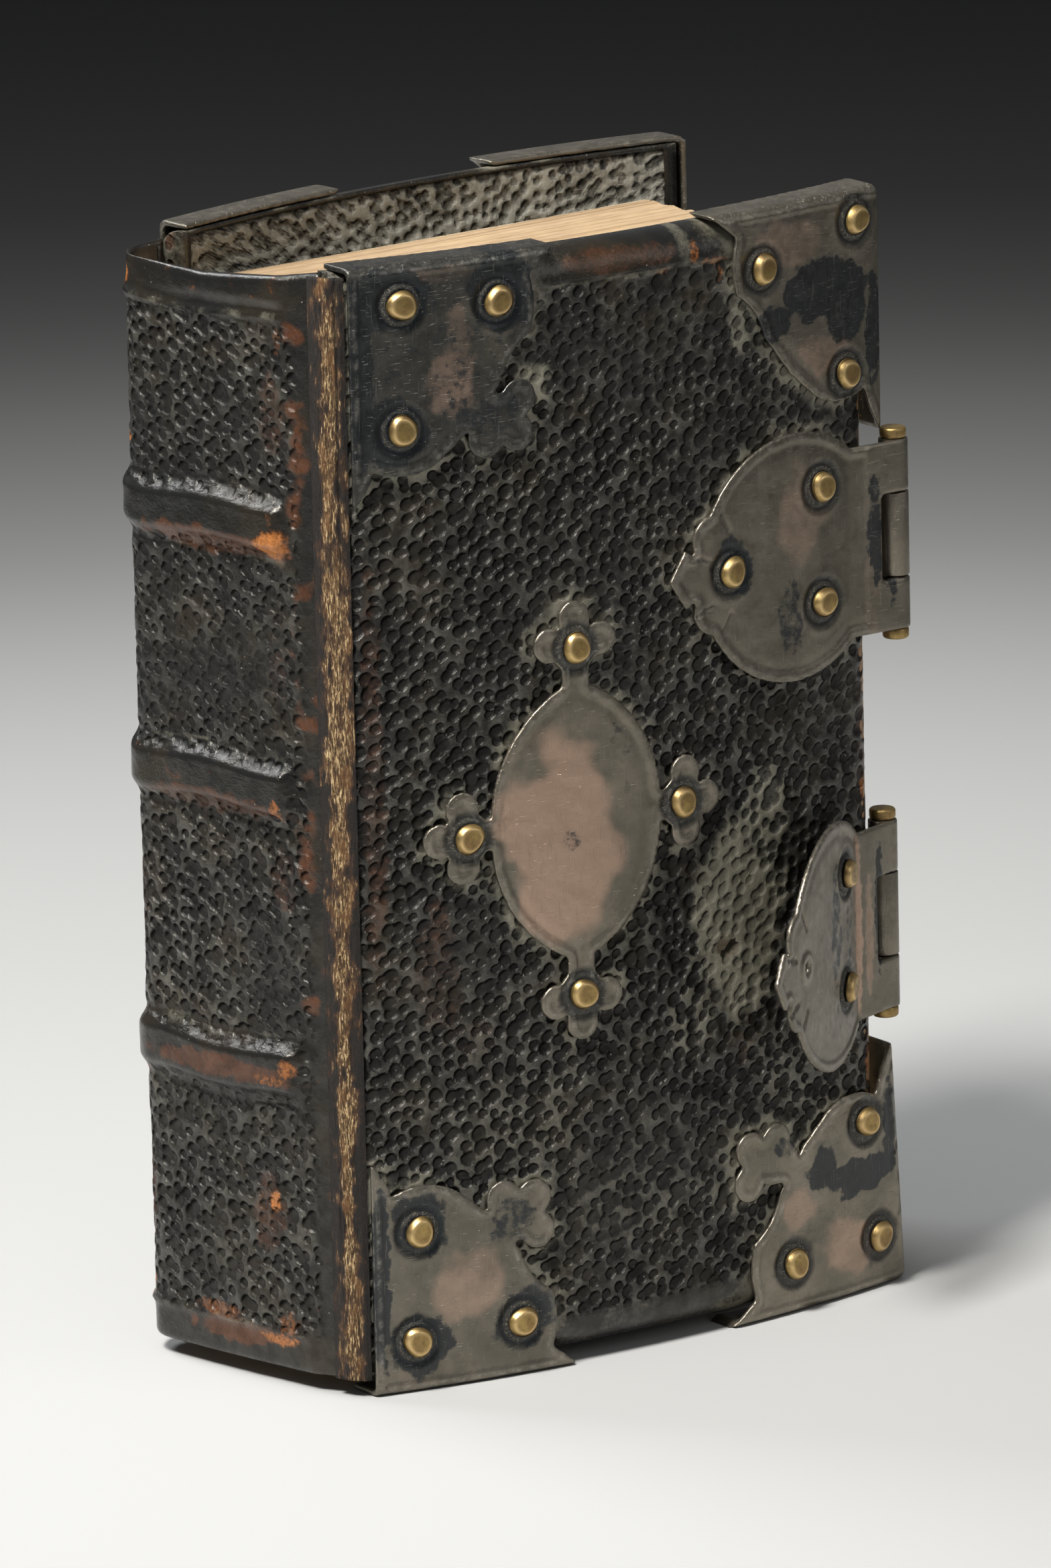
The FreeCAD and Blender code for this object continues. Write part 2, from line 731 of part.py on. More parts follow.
def riveted(side, name, places, shank_extra=0.0, change=None):
    """Rivets as one node of a cover; gives their shanks, still as on the front cover."""
    solids, shanks = rivets(places, shank_extra)
    if change is not None:
        solids = [change(solid) for solid in solids]
        shanks = [change(shank) for shank in shanks]
    group = place_side(Part.makeCompound(solids), side)
    node(name, feature(f"{name}_brass", group), side)
    return shanks


def cover(side):
    """Board, leather, paper and mounts of one cover."""
    shanks = []
    for name in corner_names:
        whole = side == REAR
        flare = size("corner_flare") if name == "tail_fore" and not whole else 0.0
        trefoil = 0.0
        if not whole and name == "head_fore":
            trefoil = None
        if not whole and name == "tail_fore":
            trefoil = size("trefoil_shift")
        pinned = riveted(side, f"{side}_rivets_{name}", corner_places(name))
        fixed(side, f"{side}_corner_{name}", corner(name, flare, trefoil), pinned)
        shanks += pinned
    pinned = riveted(side, f"{side}_rivets_centre", centre_rivets())
    fixed(side, f"{side}_centre_plate", centre_plate(), pinned)
    shanks += pinned
    shanks += clasp_mounts() if side == FRONT else catch_mounts()
    tool = feature(f"{side}_shanks", place_side(Part.makeCompound(shanks), side))

    envelope = rounded(f"{side}_envelope", bowed_slab(f"{side}_skin", side, OUTER, INNER, "0", "board_width",
                                                      "board_lift", TOP), side, "edge_round")
    skin = "leather_thickness"
    core = rounded(f"{side}_core", bowed_slab(f"{side}_wood", side, f"{OUTER} - {skin}", f"{INNER} + {skin}",
                                              skin, f"board_width - {skin}", f"board_lift + {skin}",
                                              f"{TOP} - {skin}"), side, "core_round")
    window = bowed_slab(f"{side}_window", side, f"{INNER} + {skin}", f"{INNER} - {skin}", "turn_in",
                        "board_width - turn_in", "board_lift + turn_in", f"{TOP} - turn_in")
    hide = boolean("Part::Cut", f"{side}_hide", envelope, core)
    hide = boolean("Part::Cut", f"{side}_hide_open", hide, window)
    node(f"{side}_leather", boolean("Part::Cut", f"{side}_hide_pinned", hide, tool), side)
    node(f"{side}_board", boolean("Part::Cut", f"{side}_wood_pinned", core, tool), side)
    glued = f"{INNER} + {skin} - paste_gap"
    paper = bowed_slab(f"{side}_paper", side, glued, f"{glued} - paper_thickness",
                       "turn_in", "board_width - turn_in", "board_lift + turn_in", f"{TOP} - turn_in")
    node(f"{side}_pastedown", paper, side)


def clasp_mounts():
    """Both hinge plates of the front cover. The lower one is turned up and has lost its flower's rivet."""
    upper = size("clasp_upper")
    lower = size("clasp_lower")
    shanks = riveted(FRONT, "upper_clasp_rivets", clasp_places(upper))
    plate = clasp_plate(upper, size("barrel_upper_x"), size("barrel_upper_y"), clasp_face(upper))
    fixed(FRONT, "upper_clasp_plate", plate, shanks)

    places = clasp_places(lower)
    kept = riveted(FRONT, "lower_clasp_rivets", places[:2], size("lifted_shank"), lifted)
    _, lost = rivets(places[2:])
    face = lifted(clasp_face(lower)).fuse(bend_filler(lower))
    plate = clasp_plate(lower, size("barrel_lower_x"), size("barrel_lower_y"), face, size("lift_gap"))
    fixed(FRONT, "lower_clasp_plate", plate, kept + [lifted(hole) for hole in lost])
    return shanks + kept + lost


def catch_mounts():
    """Both catches of the rear cover."""
    shanks = []
    for word in ("upper", "lower"):
        level = size(f"clasp_{word}")
        pinned = riveted(REAR, f"{word}_catch_rivets", catch_places(level))
        fixed(REAR, f"{word}_catch", catch_plate(level), pinned)
        shanks += pinned
    return shanks


cover(FRONT)
cover(REAR)

# Build: hinge pins and clasp arms

for word in ("upper", "lower"):
    barrel_x = f"barrel_{word}_x"
    barrel_y = f"barrel_{word}_y"
    level = f"clasp_{word}"
    low = f"{level} - clasp_flange_height / 2"
    stem = primitive("Part::Cylinder", f"{word}_pin_stem", Radius="pin_radius", Height="clasp_flange_height",
                     x=barrel_x, y=barrel_y, z=low)
    foot = primitive("Part::Cylinder", f"{word}_pin_foot", Radius="pin_head_radius", Height="pin_head_height",
                     x=barrel_x, y=barrel_y, z=f"{low} - pin_head_height")
    head = primitive("Part::Cylinder", f"{word}_pin_head", Radius="pin_head_radius", Height="pin_head_height",
                     x=barrel_x, y=barrel_y, z=f"{level} + clasp_flange_height / 2")
    node(f"{word}_clasp_pin", fuse(f"{word}_pin", [stem, foot, head]), FRONT)

    reach = f"thickness + mount_width * sin(splay) - catch_depth * cos(splay) - {barrel_y}"
    knuckle = primitive("Part::Cylinder", f"{word}_arm_knuckle", Radius="barrel_radius",
                        Height="knuckle_height", x=barrel_x, y=barrel_y, z=f"{level} - knuckle_height / 2")
    strap = primitive("Part::Box", f"{word}_arm_strap", Length="arm_thickness", Width=reach,
                      Height="arm_width", x=f"{barrel_x} - arm_offset", y=barrel_y,
                      z=f"{level} - arm_width / 2")
    tip = primitive("Part::Cylinder", f"{word}_arm_tip", Radius="arm_width / 2", Height="arm_thickness",
                    x=f"{barrel_x} - arm_offset", y=f"{barrel_y} + {reach}", z=level)
    eye = primitive("Part::Cylinder", f"{word}_arm_eye", Radius="peg_radius + peg_clearance",
                    Height="arm_thickness * 3", x=f"{barrel_x} - arm_offset - arm_thickness",
                    y=f"{barrel_y} + {reach}", z=level)
    bore = primitive("Part::Cylinder", f"{word}_arm_bore", Radius="pin_radius + pin_clearance",
                     Height="knuckle_height * 2", x=barrel_x, y=barrel_y, z=f"{level} - knuckle_height")
    for item in (tip, eye):
        item.Placement.Rotation = Rotation(Vector(0, 1, 0), 90)
    solid = fuse(f"{word}_arm_solid", [knuckle, strap, tip])
    solid = boolean("Part::Cut", f"{word}_arm_eyed", solid, eye)
    node(f"{word}_clasp_arm", boolean("Part::Cut", f"{word}_arm_bored", solid, bore), f"{word}_arm")

# Placement: the rear cover leans out at the fore-edge, the clasp arms stand a little open,
# and the whole book is moved so that its origin lies below the middle of its outline

PLACES = {
    "block": ("0 - centre_x", "0 - centre_y", "0"),
    FRONT: ("0 - centre_x", "0 - centre_y", "0"),
    REAR: ("thickness * sin(splay) - centre_x", "thickness - thickness * cos(splay) - centre_y", "splay"),
}
for word in ("upper", "lower"):
    bx = f"barrel_{word}_x"
    by = f"barrel_{word}_y"
    turn = "arm_rest_angle"
    PLACES[f"{word}_arm"] = (f"{bx} - {bx} * cos({turn}) - {by} * sin({turn}) - centre_x",
                             f"{by} + {bx} * sin({turn}) - {by} * cos({turn}) - centre_y", f"0 - {turn}")

for item, body in nodes:
    across, deep, turn = PLACES[body]
    item.Placement = Placement(Vector(0, 0, 0), Rotation(SKY, 1))
    bind(item, x=across, y=deep)
    item.setExpression("Placement.Rotation.Angle", cells(turn))
doc.recompute()

whole = FreeCAD.BoundBox()
for item, _ in nodes:
    whole.add(item.Shape.optimalBoundingBox())
sheet.set("centre_x", str(round(whole.Center.x, 3)))
sheet.set("centre_y", str(round(whole.Center.y, 3)))
doc.recompute()

# Export

faulty = [item.Name for item in doc.Objects if "Invalid" in item.State or "Error" in item.State]
if faulty:
    raise RuntimeError(f"not built: {faulty}")
os.makedirs("parts", exist_ok=True)
for item, _ in nodes:
    if item.Shape.isNull() or not item.Shape.isValid():
        raise RuntimeError(f"bad shape: {item.Label}")
    item.Shape.exportStep(f"parts/{item.Label}.step")
for item, body in nodes:
    box = item.Shape.optimalBoundingBox()
    corners = [box.XMin, box.XMax, box.YMin, box.YMax, box.ZMin, box.ZMax]
    print(item.Label, body, len(item.Shape.Solids), round(item.Shape.Volume, 2),
          [round(value, 2) for value in corners])
print("centre", size("centre_x"), size("centre_y"))
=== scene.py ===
"""Looks of a small leather-bound book with tarnished mounts, laid out as an add-on and run as a script."""
import math

import bmesh
import bpy
import numpy as np
from bpy.props import FloatProperty, FloatVectorProperty, PointerProperty
from mathutils import Matrix, Vector, kdtree


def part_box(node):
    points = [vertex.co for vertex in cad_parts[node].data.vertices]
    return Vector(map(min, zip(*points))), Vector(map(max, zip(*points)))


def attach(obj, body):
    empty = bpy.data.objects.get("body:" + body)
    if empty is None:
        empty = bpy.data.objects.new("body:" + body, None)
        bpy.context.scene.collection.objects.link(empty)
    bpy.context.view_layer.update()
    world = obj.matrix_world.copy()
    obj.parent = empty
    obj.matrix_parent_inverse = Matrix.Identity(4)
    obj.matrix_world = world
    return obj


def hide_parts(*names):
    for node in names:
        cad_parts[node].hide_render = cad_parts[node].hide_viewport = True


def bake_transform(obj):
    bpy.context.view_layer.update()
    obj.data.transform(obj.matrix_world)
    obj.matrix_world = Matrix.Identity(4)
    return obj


bl_info = {
    "name": "Leather book with metal mounts",
    "version": (1, 0, 0),
    "blender": (4, 5, 0),
    "location": "3D View > Sidebar > Book",
    "description": "Builds a grained leather binding, its mounts and its pages around a packed model",
    "category": "Object",
}

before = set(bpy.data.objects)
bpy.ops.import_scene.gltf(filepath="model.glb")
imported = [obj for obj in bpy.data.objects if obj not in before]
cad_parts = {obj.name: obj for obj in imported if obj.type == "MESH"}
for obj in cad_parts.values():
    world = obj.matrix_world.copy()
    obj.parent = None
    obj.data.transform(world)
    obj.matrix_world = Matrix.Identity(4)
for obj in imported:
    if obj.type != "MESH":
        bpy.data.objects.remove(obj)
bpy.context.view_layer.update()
MM = 0.001
FRONT = "front"
REAR = "rear"

# Book coordinates in mm: x from the covers' spine edge, y from the front cover's edge, z from the floor
TEXT_FRONT = 4.6
ORIGIN = np.array([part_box("front_leather")[0].x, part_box("text_block")[0].y - TEXT_FRONT * MM, 0.0]) / MM
BOARD_LENGTH = (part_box("front_leather")[1].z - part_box("front_leather")[0].z) / MM
BOARD_WIDTH = (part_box("front_leather")[1].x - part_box("front_leather")[0].x) / MM
BOARD_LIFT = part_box("front_leather")[0].z / MM
BOARD_TOP = BOARD_LIFT + BOARD_LENGTH
TEXT_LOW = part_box("text_block")[0].z / MM
TEXT_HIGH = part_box("text_block")[1].z / MM
TEXT_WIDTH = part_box("text_block")[1].x / MM - ORIGIN[0]
SPINE_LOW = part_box("spine_leather")[0].z / MM
SPINE_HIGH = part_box("spine_leather")[1].z / MM
MOUNT_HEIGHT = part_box("front_corner_head_fore")[1].z / MM
MOUNT_WIDTH = BOARD_WIDTH + 1.2
MIDDLE_X = 30.0
MIDDLE_Z = 55.0
BOW_SHIFT = 0.9
BACK_INSET = 0.45
PROBE = 0.05


# Sizes and colours that a user may change

def length(name, description, value):
    return FloatProperty(name=name, description=description, default=value, unit="LENGTH", precision=5)


def colour(name, description, value):
    return FloatVectorProperty(name=name, description=description, default=value, subtype="COLOR", size=3,
                               min=0.0, max=1.0)


class BookSizes(bpy.types.PropertyGroup):
    thickness: length("Thickness", "Over both covers at the spine, without the mounts' rivets", 0.03185)
    cover: length("Cover", "Thickness of one cover", 0.0036)
    metal: length("Metal", "Thickness of the mounts", 0.0006)
    bow: length("Bow", "How far each cover is bowed outwards", 0.00372)
    grain_pitch: length("Grain pitch", "Distance between the leather's pits", 0.00150)
    grain_depth: length("Grain depth", "Depth of the leather's pits", 0.00034)
    leather_step: length("Leather step", "Mesh step of the front cover and the spine", 0.00029)
    rear_step: length("Rear step", "Mesh step of the rear cover", 0.00042)
    metal_step: length("Metal step", "Mesh step of the front mounts", 0.00022)
    band_rise: length("Band rise", "Height of the spine's raised bands", 0.00125)
    rivet: length("Rivet", "Radius of a rivet's head", 0.0015)


class BookColours(bpy.types.PropertyGroup):
    leather: colour("Leather", "Unworn leather", (0.0085, 0.0086, 0.0082))
    # Pits: painted shade, a darker colour for the floors of the grain's pits
    pit: colour("Pits", "Floors of the grain's pits", (0.0040, 0.0040, 0.0038))
    wear: colour("Wear", "Leather that has lost its surface", (0.075, 0.026, 0.010))
    tan: colour("Tan", "Leather rubbed down to its fibres", (0.38, 0.135, 0.030))
    dust: colour("Dust", "Dust and wax round the mounts", (0.155, 0.145, 0.108))
    metal: colour("Metal", "Tarnished metal", (0.175, 0.158, 0.122))
    blue: colour("Tarnish", "Darkest tarnish", (0.024, 0.028, 0.031))
    copper: colour("Copper", "Pinkish worn metal", (0.50, 0.345, 0.255))
    brass: colour("Brass", "Rivets", (0.41, 0.290, 0.105))
    paper: colour("Paper", "Edges of the pages", (0.42, 0.305, 0.19))
    floor: colour("Floor", "Pale floor", (0.80, 0.80, 0.79))


class BookSettings(bpy.types.PropertyGroup):
    sizes: PointerProperty(type=BookSizes, name="Sizes", description="Sizes of the book")
    colours: PointerProperty(type=BookColours, name="Colours", description="Colours of the book")


def mm(name):
    """A size of the settings in millimetres."""
    return getattr(bpy.context.scene.book.sizes, name) / MM


def paint(name):
    """A colour of the settings."""
    return tuple(getattr(bpy.context.scene.book.colours, name))


# Shape of the covers

def bow_middle():
    """Where a cover is bowed furthest out."""
    return BOARD_WIDTH / 2 + BOW_SHIFT


def bow_radius():
    """Radius of the round face of a bowed cover."""
    return (bow_middle() ** 2 / mm("bow") + mm("bow")) / 2


def on_cover(x, z, rise):
    """Points over the front cover: rise is measured outwards from the mounts' outer face."""
    radius = bow_radius()
    across = (x - bow_middle()) / radius
    down = np.sqrt(1 - across ** 2)
    reach = radius + rise
    return np.stack([bow_middle() + across * reach, radius - mm("bow") - down * reach, z], -1)


def plumb(x, depth):
    """The place along a cover that, at this depth below its face, comes out at x."""
    return x + (x - bow_middle()) / bow_radius() * depth


SPLAY = math.radians(3.4)


def to_side(points, side):
    """Points of the front cover carried to the rear cover, which is mirrored and leans out."""
    points = np.array(points, float)
    if side == FRONT:
        return points
    thick = mm("thickness")
    x = points[..., 0].copy()
    y = -points[..., 1]
    points[..., 0] = x * math.cos(SPLAY) - y * math.sin(SPLAY)
    points[..., 1] = thick + x * math.sin(SPLAY) + y * math.cos(SPLAY)
    return points


def to_frame(points):
    """Millimetres of the book to metres of the frame."""
    return (np.asarray(points, float) + ORIGIN) * MM


def to_book(points):
    """Metres of the frame to millimetres of the book."""
    return np.asarray(points, float) / MM - ORIGIN


def from_side(points, side):
    """Points of a cover as they would lie on the front cover."""
    points = np.array(points, float)
    if side == FRONT:
        return points
    y = points[..., 1] - mm("thickness")
    x = points[..., 0].copy()
    points[..., 0] = x * math.cos(SPLAY) + y * math.sin(SPLAY)
    points[..., 1] = -(-x * math.sin(SPLAY) + y * math.cos(SPLAY))
    return points


def cover_place(points, side):
    """x, z and rise over the mounts' outer face of points in the book."""
    p = from_side(points, side)
    radius = bow_radius()
    dx = p[..., 0] - bow_middle()
    dy = p[..., 1] - (radius - mm("bow"))
    far = np.hypot(dx, dy)
    return bow_middle() + dx / far * radius, p[..., 2], far - radius


# Patterns worked out at each vertex

def smooth(low, high, value):
    """0 up to low, 1 from high on, and a soft ramp between them."""
    t = np.clip((value - low) / (high - low), 0.0, 1.0)
    return t * t * (3 - 2 * t)


def bell(value, middle, width):
    """1 where value is middle, falling away on both sides."""
    return np.exp(-((value - middle) / width) ** 2)


def scatter(i, j, k):
    """A steady random number from 0 to 1 for each pair of whole numbers."""
    value = np.sin(i * 127.1 + j * 311.7 + k * 74.7) * 43758.5453
    return value - np.floor(value)


def clouds(x, z, size, seed=0.0, octaves=3):
    """Smooth value noise from -1 to 1."""
    total = np.zeros_like(x, float)
    weight = 1.0
    norm = 0.0
    for octave in range(octaves):
        p = x / size * 2 ** octave + 17.3 * octave + seed * 3.1
        q = z / size * 2 ** octave + 9.7 * octave + seed * 5.7
        i, j = np.floor(p), np.floor(q)
        u, v = p - i, q - j
        u, v = u * u * (3 - 2 * u), v * v * (3 - 2 * v)
        a = scatter(i, j, seed)
        b = scatter(i + 1, j, seed)
        c = scatter(i, j + 1, seed)
        d = scatter(i + 1, j + 1, seed)
        total += weight * ((a * (1 - u) + b * u) * (1 - v) + (c * (1 - u) + d * u) * v)
        norm += weight
        weight *= 0.5
    return total / norm * 2 - 1


def pits(x, z, pitch, seed, lean=(-0.55, 0.8)):
    """Rounded dents in loose rows: depth, distance from the middle of the nearest, and the lean in it."""
    row_height = pitch * 0.86
    slant = math.radians(-24.0)
    x, z = x * math.cos(slant) - z * math.sin(slant), x * math.sin(slant) + z * math.cos(slant)
    lean = (lean[0] * math.cos(slant) - lean[1] * math.sin(slant),
            lean[0] * math.sin(slant) + lean[1] * math.cos(slant))
    x = x + 0.32 * pitch * clouds(x, z, pitch * 2.6, seed + 5)
    z = z + 0.32 * pitch * clouds(x, z, pitch * 2.6, seed + 9)
    row0 = np.floor(z / row_height)
    deep = np.zeros_like(x, float)
    near = np.full_like(deep, 2.0)
    lean_near = np.zeros_like(deep)
    for dr in (-1, 0, 1, 2):
        row = row0 + dr
        shift = 0.5 * np.mod(row, 2)
        column0 = np.floor(x / pitch - shift)
        for dc in (-1, 0, 1, 2):
            column = column0 + dc
            size = 0.36 + 0.23 * scatter(column, row, seed + 2)
            px = (column + shift + 0.5 + 0.56 * (scatter(column, row, seed) - 0.5)) * pitch
            pz = (row + 0.5 + 0.56 * (scatter(column, row, seed + 1) - 0.5)) * row_height
            dx = (x - px) / pitch
            dz = (z - pz) / pitch * 1.06
            d = np.sqrt(dx * dx + dz * dz) / size
            toward = (dx * lean[0] + dz * lean[1]) / size
            depth = (1 - smooth(0.35, 1.08, d)) * (0.80 + 0.40 * toward)
            depth = depth * (0.62 + 0.45 * scatter(column, row, seed + 3))
            closer = d < near
            near = np.where(closer, d, near)
            lean_near = np.where(closer, toward, lean_near)
            deep = np.maximum(deep, depth)
    return np.clip(deep, 0, 1.1), near, lean_near


def blob(x, z, place, size, rough=0.35, seed=0.0):
    """A soft ragged spot."""
    edge = rough * clouds(x, z, max(min(size) * 0.6, 0.5), seed + 3)
    d = np.hypot((x - place[0]) / size[0], (z - place[1]) / size[1]) + edge
    return 1 - smooth(0.55, 1.05, d)


def spots(x, z, table, seed=0.0):
    """The strongest of several ragged spots: each is its place, its size and its strength."""
    total = np.zeros_like(x, float)
    for number, (px, pz, rx, rz, strength) in enumerate(table):
        total = np.maximum(total, strength * blob(x, z, (px, pz), (rx, rz), seed=seed + number))
    return total


# Mesh helpers

def deselect():
    if bpy.context.mode != "OBJECT":
        bpy.ops.object.mode_set(mode="OBJECT")
    bpy.ops.object.select_all(action="DESELECT")


def only(piece):
    deselect()
    piece.select_set(True)
    bpy.context.view_layer.objects.active = piece

def edit_all(piece, *steps):
    """Runs each step in edit mode with the whole piece selected."""
    only(piece)
    bpy.ops.object.mode_set(mode="EDIT")
    bpy.ops.mesh.select_all(action="SELECT")
    for step in steps:
        step()
    bpy.ops.object.mode_set(mode="OBJECT")


def merge_near():
    """Merges the vertices at one place, where a CAD mesh has one for each face."""
    bpy.ops.mesh.remove_doubles(threshold=2e-6)


def normals_out():
    """Turns all faces outwards."""
    bpy.ops.mesh.normals_make_consistent(inside=False)


def copy_node(node, ending):
    """A copy of a CAD node's mesh, with the vertices at one place merged."""
    piece = bpy.data.objects.new(f"{node}_{ending}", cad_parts[node].data.copy())
    bpy.context.scene.collection.objects.link(piece)
    edit_all(piece, merge_near)
    return piece


def nearest(x, z, places):
    """How far each point of a cover is from the nearest of some places."""
    tree = kdtree.KDTree(len(places))
    for index, (px, pz) in enumerate(places):
        tree.insert((px, 0.0, pz), index)
    tree.balance()
    return np.array([tree.find((px, 0.0, pz))[2] for px, pz in zip(x, z)])


def vertices(piece):
    co = np.zeros(len(piece.data.vertices) * 3)
    piece.data.vertices.foreach_get("co", co)
    return co.reshape(-1, 3)


def normals(piece):
    co = np.zeros(len(piece.data.vertices) * 3)
    piece.data.vertex_normals.foreach_get("vector", co)
    return co.reshape(-1, 3)


def place_vertices(piece, co):
    piece.data.vertices.foreach_set("co", np.ascontiguousarray(co, dtype=float).ravel())
    piece.data.update()


def grid(name, columns, rows, shape):
    """A grid primitive whose vertices go where shape puts them; u and v run from 0 to 1."""
    deselect()
    bpy.ops.mesh.primitive_grid_add(x_subdivisions=columns, y_subdivisions=rows, size=2.0,
                                    location=(0, 0, 0))
    piece = bpy.context.object
    piece.name = piece.data.name = name
    flat = vertices(piece)
    place_vertices(piece, shape((flat[:, 0] + 1) / 2, (flat[:, 1] + 1) / 2))
    return piece


def join(pieces, name, merge=0.0):
    """Several meshes as one piece, with near vertices merged if asked."""
    deselect()
    for piece in pieces:
        piece.select_set(True)
    bpy.context.view_layer.objects.active = pieces[0]
    if len(pieces) > 1:
        bpy.ops.object.join()
    whole = bpy.context.object
    whole.name = whole.data.name = name
    if merge:
        edit_all(whole, lambda: bpy.ops.mesh.remove_doubles(threshold=merge), normals_out)
    return whole


def apply_modifier(piece, kind, **settings):
    only(piece)
    modifier = piece.modifiers.new(kind.title(), kind)
    for name, value in settings.items():
        setattr(modifier, name, value)
    bpy.ops.object.modifier_apply(modifier=modifier.name)


def close_back(outer, inner, name):
    """One closed shell from a fine outer surface and a coarse inner one, bridged round their rims."""
    whole = join([outer, inner], name)
    mesh = bmesh.new()
    mesh.from_mesh(whole.data)
    rims = [edge for edge in mesh.edges if edge.is_boundary]
    bmesh.ops.bridge_loops(mesh, edges=rims)
    bmesh.ops.recalc_face_normals(mesh, faces=mesh.faces)
    mesh.to_mesh(whole.data)
    mesh.free()
    return whole


def shade(piece, angle=None):
    only(piece)
    if angle is None:
        bpy.ops.object.shade_smooth()
    else:
        bpy.ops.object.shade_smooth_by_angle(angle=math.radians(angle))


def write_layer(piece, name, red, green=None, blue=None, alpha=None):
    """Keeps four values from 0 to 1 at each vertex for the materials."""
    count = len(piece.data.vertices)
    data = np.ones((count, 4), np.float32)
    for index, values in enumerate((red, green, blue, alpha)):
        data[:, index] = 0.0 if values is None else np.clip(values, 0, 1)
    layer = piece.data.attributes.get(name) or piece.data.attributes.new(name, "FLOAT_COLOR", "POINT")
    layer.data.foreach_set("color", data.ravel())


def write_grain(piece, near, toward, keep, plain):
    """Keeps the pits' pattern, how deep they are and where the leather is smooth."""
    inside = near < 1.3
    write_layer(piece, "grain", near / 1.6, plain, np.where(inside, 0.5 + 0.4 * toward, 0.5), keep)


def finish(piece, material, body, slot, nodes=()):
    """Material, body and the CAD nodes that the piece stands for; slot is not used."""
    piece.data.materials.clear()
    piece.data.materials.append(material)
    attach(piece, body)
    if nodes:
        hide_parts(*nodes)
    return piece


# Materials

class Signal:
    """A node's output; adding, subtracting or multiplying it makes one more math node."""

    def __init__(self, finish, socket):
        self.finish = finish
        self.socket = socket

    def __add__(self, other):
        return self.finish.math("ADD", self, other)

    def __sub__(self, other):
        return self.finish.math("SUBTRACT", self, other)

    def __rsub__(self, other):
        return self.finish.math("SUBTRACT", other, self)

    def __mul__(self, other):
        return self.finish.math("MULTIPLY", self, other)


class Finish:
    """A node material under construction, whose patterns read Object coordinates or vertex layers."""

    def __init__(self, name):
        self.material = bpy.data.materials.new(name)
        self.material.use_nodes = True
        self.nodes = self.material.node_tree.nodes
        self.links = self.material.node_tree.links
        self.shader = self.nodes["Principled BSDF"]
        self.coordinates = self.nodes.new("ShaderNodeTexCoord").outputs["Object"]

    def put(self, socket, value):
        """Links a signal or a socket to an input, or sets the input to a constant."""
        value = getattr(value, "socket", value)
        if isinstance(value, bpy.types.NodeSocket):
            self.links.new(value, socket)
        else:
            socket.default_value = value

    def set(self, **inputs):
        for name, value in inputs.items():
            self.put(self.shader.inputs[name.replace("_", " ")], value)

    def node(self, kind, output, inputs, **settings):
        """One of the outputs of a new node."""
        node = self.nodes.new("ShaderNode" + kind)
        for name, value in settings.items():
            setattr(node, name, value)
        for name, value in inputs.items():
            self.put(node.inputs[name], value)
        return Signal(self, node.outputs[output])

    def math(self, operation, a, b=0.0, clamp=False):
        return self.node("Math", 0, {0: a, 1: b}, operation=operation, use_clamp=clamp)

    def layer(self, name):
        """The four channels of a vertex layer."""
        node = self.nodes.new("ShaderNodeAttribute")
        node.attribute_name = name
        split = self.nodes.new("ShaderNodeSeparateColor")
        self.links.new(node.outputs["Color"], split.inputs[0])
        return [Signal(self, socket) for socket in (*split.outputs, node.outputs["Alpha"])]

    def scaled(self, size, stretch=(1.0, 1.0, 1.0)):
        """Object coordinates in units of size, in millimetres."""
        scale = 1.0 / (size * MM)
        return self.node("Mapping", 0, {"Vector": self.coordinates, "Scale": [scale / s for s in stretch]})

    def noise(self, size, detail=3.0, roughness=0.55, stretch=(1.0, 1.0, 1.0), distortion=0.0):
        """Noise whose features are about as large as size, in millimetres."""
        inputs = {"Vector": self.scaled(size, stretch), "Scale": 1.0, "Detail": detail,
                  "Roughness": roughness, "Distortion": distortion}
        return self.node("TexNoise", "Fac", inputs)

    def cells(self, size):
        """How far the nearest of scattered points is."""
        return self.node("TexVoronoi", "Distance", {"Vector": self.scaled(size), "Scale": 1.0})

    def step(self, value, low, high, to_low=0.0, to_high=1.0):
        inputs = {"Value": value, "From Min": low, "From Max": high, "To Min": to_low, "To Max": to_high}
        return self.node("MapRange", "Result", inputs, interpolation_type="SMOOTHSTEP")

    def mix(self, factor, a, b):
        """One colour over another; a colour is a signal or three numbers."""
        a, b = [(*c, 1.0) if isinstance(c, tuple) else c for c in (a, b)]
        return self.node("Mix", 2, {0: factor, 6: a, 7: b}, data_type="RGBA")

    def bump(self, height, distance, strength=1.0, under=None):
        inputs = {"Strength": strength, "Distance": distance * MM, "Height": height}
        if under is not None:
            inputs["Normal"] = under
        return self.node("Bump", "Normal", inputs)


